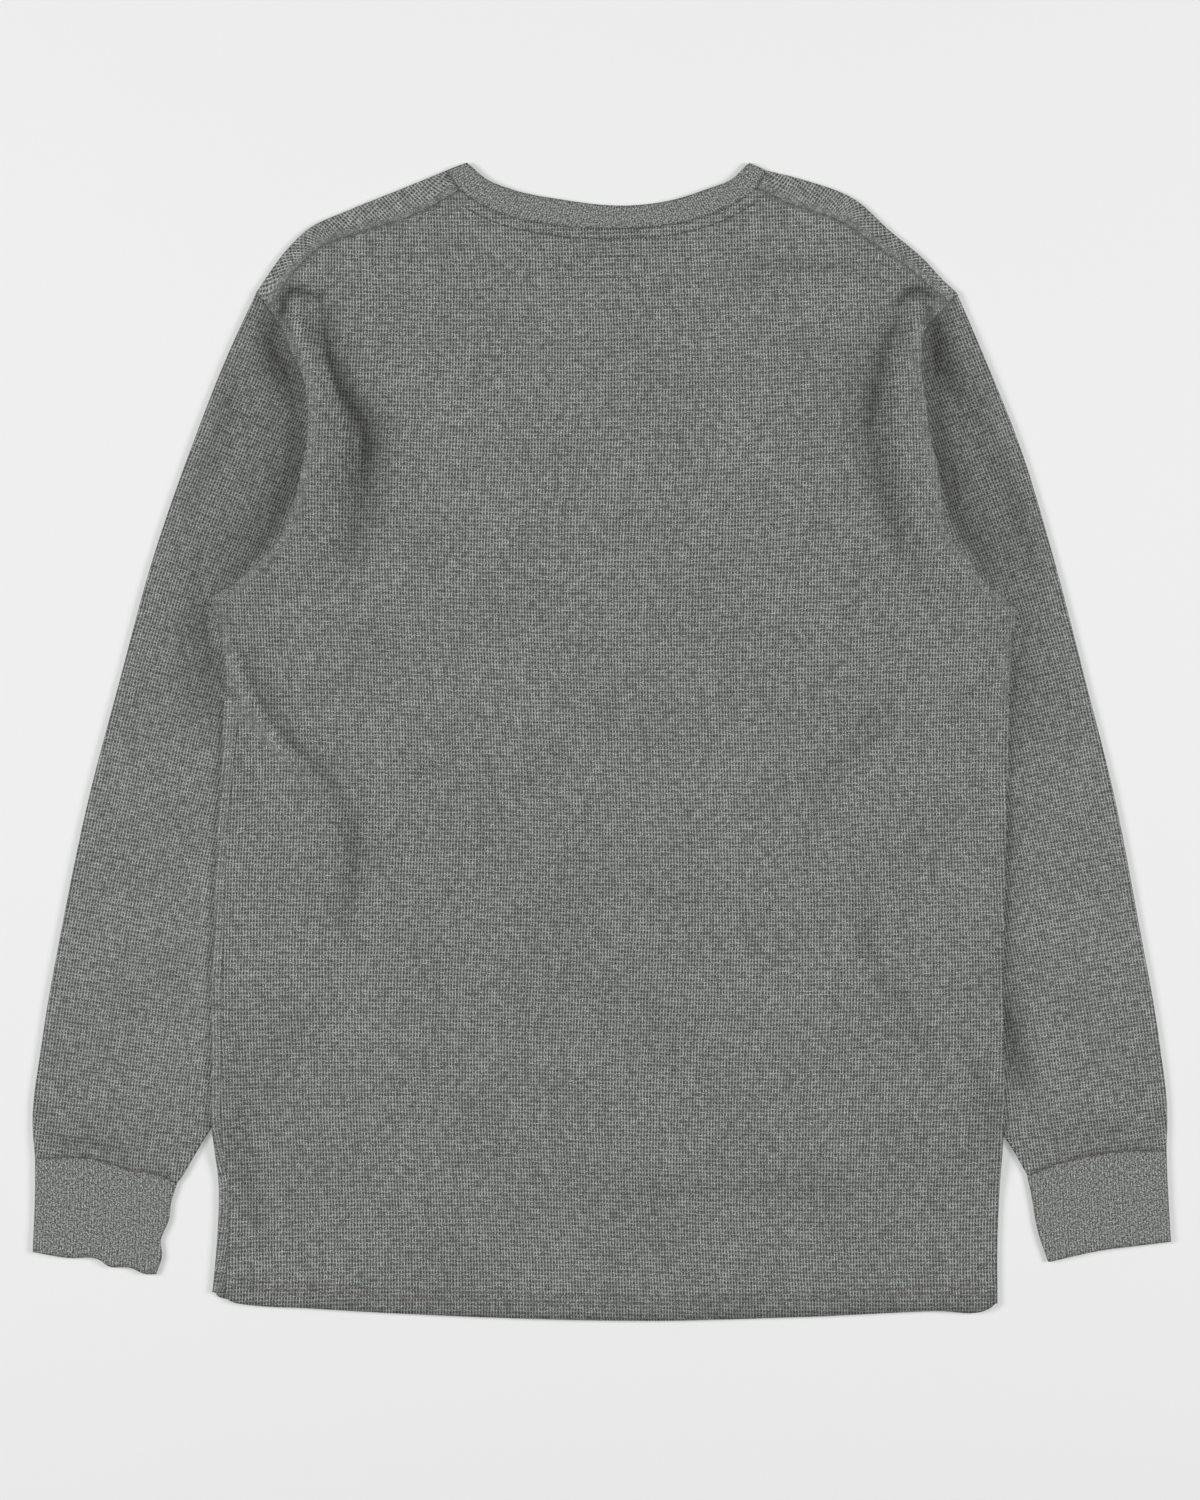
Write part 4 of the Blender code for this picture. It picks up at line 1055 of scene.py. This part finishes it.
def stitches(name, paths, long, radius, material):
    """Lines of thread: along each path one spindle for every stitch.

    A spindle is a ring of points carried along the stitch, its radius the root of a sine of the
    way, and it arches out of the cloth and back in. All stitches are one mesh.
    """
    points, faces, start = [], [], 0
    rings, sides = SPINDLE_RINGS, SPINDLE_SIDES
    for path, height in paths:
        count = int(np.linalg.norm(np.diff(path, axis=0), axis=1).sum() / long)
        centres = curve(path, (np.arange(count) + 0.5) / count)
        run = normals(centres)
        forward = np.stack([-run[:, 1], run[:, 0]], axis=1)
        t = np.linspace(0, 1, rings)[None, :, None]
        angle = np.linspace(0, 2 * math.pi, sides, endpoint=False)[None, None, :]
        thick = radius * np.sin(math.pi * (0.08 + 0.84 * t)) ** 0.5
        reach = (t - 0.5) * long * 0.86
        across = thick * np.cos(angle) * 1.15
        place = (
            centres[:, None, None] + forward[:, None, None] * (reach + 0 * angle)[..., None]
            + run[:, None, None] * across[..., None]
        )
        arch = radius * (1.3 * np.sin(math.pi * t) - 0.9)
        z = height(place) + arch + thick * np.sin(angle)
        points.append(np.concatenate([place, z[..., None]], axis=-1).reshape(-1, 3))
        ring = np.arange(sides)
        base = np.arange(rings - 1)[:, None] * sides
        quad = np.stack([base + ring, base + (ring + 1) % sides, base + sides + (ring + 1) % sides,
                         base + sides + ring], axis=-1).reshape(-1, 4)
        first = start + np.arange(count) * rings * sides
        faces.append((first[:, None, None] + quad).reshape(-1, 4))
        start += count * rings * sides
    points, quads = np.concatenate(points), np.concatenate(faces)
    piece = mesh_piece(name, points, quads, material)
    shape = bmesh.new()
    shape.from_mesh(piece.data)
    bmesh.ops.holes_fill(shape, edges=[e for e in shape.edges if e.is_boundary], sides=sides)
    bmesh.ops.recalc_face_normals(shape, faces=shape.faces)
    shape.to_mesh(piece.data)
    shape.free()
    piece.data.shade_smooth()
    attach(piece, "root")


def linear(code, alpha=1.0):
    """sRGB hex to linear: (c + 0.055) / 1.055 to the power 2.4, or c / 12.92 where dark."""
    parts = [int(code[k:k + 2], 16) / 255 for k in (1, 3, 5)]
    return (*[c / 12.92 if c <= 0.04045 else ((c + 0.055) / 1.055) ** 2.4 for c in parts], alpha)


def add(tree, kind, inputs=None, stops=(), **settings):
    """Adds a node, sets its options, sets or links its inputs, and gives back its outputs.

    A colour ramp also gets its stops, each a place from 0 to 1 and a colour: both ends first.
    """
    made = tree.nodes.new("ShaderNode" + kind)
    for option, value in settings.items():
        setattr(made, option, value)
    for key, value in (inputs or {}).items():
        if isinstance(value, bpy.types.NodeSocket):
            tree.links.new(value, made.inputs[key])
        else:
            made.inputs[key].default_value = value
    for k, (place, code) in enumerate(stops):
        bands = made.color_ramp.elements
        band = bands[k] if k < 2 else bands.new(place)
        band.position, band.color = place, linear(code)
    return made.outputs


def new_material(name):
    """Empty node material and its tree."""
    material = bpy.data.materials.new(name)
    material.use_nodes = True
    material.node_tree.nodes.clear()
    return material, material.node_tree


def finish_material(tree, colour, height, depth, roughness, sheen):
    """Principled surface with a bump from height, which is 0 to 1 over a depth in millimetres."""
    bump = add(tree, "Bump", {"Height": height, "Distance": depth * MM, "Strength": 1.0})
    shader = add(tree, "BsdfPrincipled", {
        "Base Color": colour, "Roughness": roughness, "Specular IOR Level": 0.25,
        "Sheen Weight": sheen, "Sheen Roughness": 0.6, "Normal": bump["Normal"],
    })
    add(tree, "OutputMaterial", {"Surface": shader["BSDF"]})


def waffle_knit(name, pit, yarn, fleck, sewn=0.0):
    """Waffle knit of heather yarn: raised ribs and courses round small pits, darkened by painted
    shade.

    Wales and courses are cosines of the place in the cut over the cell's size. Their product is
    the pit's depth, and the relief is 1 less it. The relief gives the bump, and it also darkens the
    colour towards `pit` in the pits, which is painted shade. Heather yarn, spun of fibres dyed dark
    and left pale, changes its tone from stitch to stitch, in short streaks along the courses and
    with single fibres. A row of stitches `sewn` metres from the seam pulls it into a thin furrow,
    drawn as a darker line of painted shade. Where the cloth is pressed or sewn, the relief is
    nearly flat. Colour is darker by painted shade in a seam's hollow and in creases, lighter by
    painted light where the crease shade is below 0, and darker over the doubled hem. To the eye it
    is a matt, soft, speckled grey.
    """
    material, tree = new_material(name)
    cut = add(tree, "Attribute", attribute_name="cut")["Vector"]
    marks = add(tree, "Attribute", attribute_name="marks")["Vector"]
    mark = add(tree, "SeparateXYZ", {0: marks})
    drift = add(tree, "TexNoise", {"Vector": cut, "Scale": 1 / (DRIFT_LONG * MM), "Detail": 1.0})
    drift = drift["Color"]
    drift = add(tree, "VectorMath", {0: drift, 1: (0.5, 0.5, 0.5)}, operation="SUBTRACT")[0]
    drift = add(tree, "VectorMath", {0: drift, "Scale": DRIFT * MM}, operation="SCALE")[0]
    place = add(tree, "VectorMath", {0: cut, 1: drift}, operation="ADD")[0]
    cells = add(tree, "VectorMath", {
        0: place, 1: (1 / (CELL_WIDE * MM), 1 / (CELL_HIGH * MM), 1.0),
    }, operation="MULTIPLY")[0]
    cell = add(tree, "SeparateXYZ", {0: cells})
    open_at = []
    for axis, strength in (("X", 1.0), ("Y", 0.75)):
        angle = add(tree, "Math", {0: cell[axis], 1: 2 * math.pi}, operation="MULTIPLY")[0]
        swing = add(tree, "Math", {0: angle}, operation="COSINE")[0]
        open_at.append(add(tree, "Math", {0: swing, 1: -strength / 2, 2: 1 - strength / 2},
                           operation="MULTIPLY_ADD")[0])
    hollow = add(tree, "Math", {0: open_at[0], 1: open_at[1]}, operation="MULTIPLY")[0]
    relief = add(tree, "Math", {0: 1.0, 1: hollow}, operation="SUBTRACT")[0]
    flat = add(tree, "Math", {0: mark["Z"], 1: 0.85}, operation="MULTIPLY", use_clamp=True)[0]
    relief = add(tree, "Mix", {"Factor": flat, "A": relief, "B": 0.68})[0]
    stitch_at = add(tree, "VectorMath", {0: cells, 1: (1.0, 1.0, 1.0)}, operation="SNAP")[0]
    stitch = add(tree, "TexWhiteNoise", {"Vector": stitch_at}, noise_dimensions="3D")["Value"]
    lengths = add(tree, "VectorMath", {0: cells, 1: (0.3, 1.0, 1.0)}, operation="MULTIPLY")[0]
    streak = add(tree, "TexNoise", {"Vector": lengths, "Scale": 1.0, "Detail": 1.0})["Fac"]
    streak = add(tree, "MapRange", {0: streak, 1: 0.3, 2: 0.7})[0]
    grain = add(tree, "TexNoise", {"Vector": cut, "Scale": 1 / (FIBRE * MM), "Detail": 2.0})["Fac"]
    grain = add(tree, "MapRange", {0: grain, 1: 0.36, 2: 0.64})[0]
    tone = add(tree, "Mix", {"Factor": STREAKS, "A": stitch, "B": streak})[0]
    tone = add(tree, "Mix", {"Factor": GRAINS, "A": tone, "B": grain})[0]
    value = add(tree, "Mix", {"Factor": SPECKLE, "A": relief, "B": tone})[0]
    # The ramp's darkest colour, `pit`, is painted shade where the relief is low in the pits, and
    # the heather's own dark fibres where the tone is low.
    heather = add(tree, "ValToRGB", {0: value}, [(0.2, pit), (0.92, fleck), (0.6, yarn)])["Color"]
    cloud = add(tree, "TexNoise", {"Vector": cut, "Scale": 1 / (CLOUD * MM), "Detail": 2.0})["Fac"]
    cloud = add(tree, "MapRange", {0: cloud, 1: 0.3, 2: 0.7, 3: 0.94, 4: 1.06})[0]
    from_row = add(tree, "Math", {0: mark["X"], 1: sewn}, operation="SUBTRACT")[0]
    from_row = add(tree, "Math", {0: from_row}, operation="ABSOLUTE")[0]
    # Painted shade: a darker line along the furrow of a row of stitches and in a seam's hollow.
    furrow = add(tree, "MapRange", {0: from_row, **ROW_SHADE})[0]
    seam_shade = add(tree, "MapRange", {0: mark["X"], **SEAM_SHADE})[0]
    hem = add(tree, "MapRange", {0: mark["Y"], **HEM_TONE})[0]
    # Painted shade from the creases' attribute; where it is below 0 it is painted light.
    crease = add(tree, "Attribute", attribute_name="shade")["Fac"]
    crease = add(tree, "Math", {0: 1.0, 1: crease}, operation="SUBTRACT")[0]
    shade = cloud
    for part in (seam_shade, furrow, crease, hem):
        shade = add(tree, "Math", {0: shade, 1: part}, operation="MULTIPLY")[0]
    colour = add(tree, "VectorMath", {0: heather, "Scale": shade}, operation="SCALE")[0]
    finish_material(tree, colour, relief, 0.3, 0.95, 0.05)
    return material


def fine_rib(name, dark, yarn, fleck):
    """Fine rib of the same yarn: close ribs that run across the band, under a speckle of fibres.

    The ribs are a cosine along the cut, coarser than real ones so that they show, and the speckle
    is noise at the fibre's scale. To the eye it is smoother and a little lighter than the waffle.
    """
    material, tree = new_material(name)
    cut = add(tree, "Attribute", attribute_name="cut")["Vector"]
    marks = add(tree, "Attribute", attribute_name="marks")["Vector"]
    mark = add(tree, "SeparateXYZ", {0: marks})
    across = add(tree, "SeparateXYZ", {0: cut})
    angle = add(tree, "Math", {0: across["X"], 1: 2 * math.pi / (RIB_PITCH * MM)},
                operation="MULTIPLY")[0]
    swing = add(tree, "Math", {0: angle}, operation="COSINE")[0]
    ribs = add(tree, "Math", {0: swing, 1: 0.5, 2: 0.5}, operation="MULTIPLY_ADD")[0]
    fibres = add(tree, "TexNoise", {
        "Vector": cut, "Scale": 1 / (RIB_FIBRE * MM), "Detail": 2.0,
    })["Fac"]
    fibres = add(tree, "MapRange", {0: fibres, 1: 0.36, 2: 0.64})[0]
    flecks = add(tree, "TexNoise", {
        "Vector": cut, "Scale": 1 / (RIB_FLECK * MM), "Detail": 1.0,
    })["Fac"]
    flecks = add(tree, "MapRange", {0: flecks, 1: 0.34, 2: 0.66})[0]
    tone = add(tree, "Mix", {"Factor": 0.4, "A": fibres, "B": flecks})[0]
    value = add(tree, "Mix", {"Factor": 0.8, "A": ribs, "B": tone})[0]
    heather = add(tree, "ValToRGB", {0: value}, [(0.15, dark), (0.9, fleck), (0.5, yarn)])["Color"]
    # Painted shade: a darker line in the seam's hollow.
    seam_shade = add(tree, "MapRange", {0: mark["X"], **SEAM_SHADE})[0]
    colour = add(tree, "VectorMath", {0: heather, "Scale": seam_shade}, operation="SCALE")[0]
    finish_material(tree, colour, ribs, 0.12, 0.95, 0.05)
    return material


def spun_thread(name, dark, light):
    """Spun polyester sewing thread: twisted, so light and dark alternate along it.

    Noise at the length of a twist gives the change. To the eye it is a dull, broken line.
    """
    material, tree = new_material(name)
    place = add(tree, "TexCoord")["Object"]
    scale = 1 / (TWIST * MM)
    twist = add(tree, "TexNoise", {"Vector": place, "Scale": scale, "Detail": 1.0})["Fac"]
    colour = add(tree, "ValToRGB", {0: twist}, [(0.35, dark), (0.65, light)])["Color"]
    finish_material(tree, colour, twist, 0.1, 0.7, 0.05)
    return material


def matt_board(name, tone):
    """Painted board under the top: even, matt and pale, with a trace of grain."""
    material, tree = new_material(name)
    place = add(tree, "TexCoord")["Object"]
    scale = 1 / (GRAIN * MM)
    grain = add(tree, "TexNoise", {"Vector": place, "Scale": scale, "Detail": 2.0})["Fac"]
    level = add(tree, "MapRange", {0: grain, 3: 0.995, 4: 1.005})[0]
    base = add(tree, "VectorMath", {0: linear(tone)[:3], "Scale": level}, operation="SCALE")[0]
    finish_material(tree, base, grain, 0.02, 0.9, 0.0)
    return material


def top_of_back(plan):
    """Surface of the back panel's outer face."""
    return body_top(plan) + WALL / 2


def top_of_sleeve_end(plan):
    """Outer face of a sleeve along its seam with the cuff, where it is level."""
    return 0 * plan[..., 0] + UPPER + WALL / 2


def sew(thread_grey, thread_warm):
    """The stitching that shows: at the neck, the hem and the cuffs, and where a label is sewn."""
    seam = curve(xy(NECK_SEAM), even(READ))
    below = seam + normals(seam) * NECK_STITCH_IN
    left, right = NECK_STITCH_ENDS
    below = below[(below[:, 0] > left) & (below[:, 0] < right)]
    stitches("neck_stitches", [(below, top_of_back)], STITCH_LONG, THREAD, thread_grey)
    x = np.linspace(*HEM_STITCH_ENDS, 200)
    lines = [(np.stack([x, height_at(HEM, x) + up], axis=1), top_of_back) for up in HEM_STITCH_UP]
    stitches("hem_stitches", lines, STITCH_LONG, THREAD, thread_warm)
    for side, name in ((-1, "left"), (1, "right")):
        lines = [(cuff_seam(side) + [0, up], top_of_sleeve_end) for up in CUFF_STITCH_UP]
        stitches(f"{name}_cuff_stitches", lines, STITCH_LONG, THREAD, thread_warm)
    left, low, right, high = LABEL_TRACE
    sides = [((left, high), (right, high)), ((left, low), (right, low)),
             ((left, low), (left, high)), ((right, low), (right, high))]
    traces = [(np.array([a, ((a[0] + b[0]) / 2, (a[1] + b[1]) / 2), b]), top_of_back)
              for a, b in sides]
    stitches("label_trace", traces, STITCH_LONG, THREAD * TRACE_THREAD, thread_grey)


def area_light(name, place, size, power):
    """Square soft white light at a place, turned to face the middle of the board."""
    data = bpy.data.lights.new(name, "AREA")
    data.shape, data.size, data.energy = "SQUARE", size, power
    lamp = bpy.data.objects.new(name, data)
    bpy.context.collection.objects.link(lamp)
    run = np.array(place) / np.linalg.norm(place)
    lamp.location = place
    lamp.rotation_euler = (math.acos(run[2]), 0, math.atan2(run[0], -run[1]))


def studio():
    """Pale board, soft lights from both sides and overhead, a faint even sky, and the camera."""
    board = bpy.data.meshes.new("board")
    ends = (-BOARD_HALF, BOARD_HALF)
    corners = [(x, y, BOARD_TOP) for x in ends for y in ends]
    board.from_pydata(corners, [], [(0, 2, 3, 1)])
    board.materials.append(matt_board("painted_board", "#e6e6e6"))
    floor = bpy.data.objects.new("board", board)
    bpy.context.collection.objects.link(floor)
    for light in LIGHTS:
        area_light(*light)
    world = bpy.data.worlds.new("studio")
    world.use_nodes = True
    sky = world.node_tree.nodes["Background"].inputs
    sky["Color"].default_value, sky["Strength"].default_value = (1, 1, 1, 1), SKY
    bpy.context.scene.world = world
    bpy.context.scene.view_settings.view_transform = "Standard"
    lens = bpy.data.cameras.new("camera")
    lens.sensor_fit = "VERTICAL"
    lens.angle = 2 * math.atan(VIEW_HIGH / 2 / CAMERA[2])
    camera = bpy.data.objects.new("camera", lens)
    bpy.context.collection.objects.link(camera)
    camera.location = CAMERA
    bpy.context.scene.camera = camera


def make():
    """All pieces of cloth with their materials and their painted shade and light, and then the
    stitching.
    """
    # The first colour of each waffle knit is its darkest: painted shade in the pits, and the dark
    # heather fibres.
    body = waffle_knit("waffle_knit_body", "#2a2c2b", "#646664", "#bbbdba", NECK_STITCH_IN * MM)
    inside = waffle_knit("waffle_knit_front", "#2c2e2d", "#696b69", "#c4c6c3")
    arms = waffle_knit("waffle_knit_sleeves", "#2c2e2d", "#666866", "#bdbfbc")
    rib = fine_rib("fine_rib", "#383a38", "#717371", "#adafab")
    thread = spun_thread("grey_thread", "#3c3d3c", "#5a5b59")
    warm_thread = spun_thread("warm_grey_thread", "#544e49", "#7b736c")
    pieces = [
        ("back", back_panel(), body, "back_panel", BODY_SHADES, (0.56, 0.76), "front"),
        ("front", front_panel(), inside, "front_panel", [], (0.57, 0.78), "board"),
        ("left_sleeve", sleeve(-1), arms, "sleeve_left", SLEEVE_SHADES, (0.34, 0.62), "board"),
        ("right_sleeve", sleeve(1), arms, "sleeve_right", SLEEVE_SHADES, (0.34, 0.62), "board"),
        ("left_cuff", cuff(-1), rib, "cuff_left", [], (0.19, 0.068), "board"),
        ("right_cuff", cuff(1), rib, "cuff_right", [], (0.19, 0.064), "board"),
        ("band", neckband(), rib, "neckband", [], (0.56, 0.018), "board"),
    ]
    for name, patches, material, slot, shades, flat, under in pieces:
        piece = cloth(name, patches, material, slot, shades)
    sew(thread, warm_thread)


make()
studio()
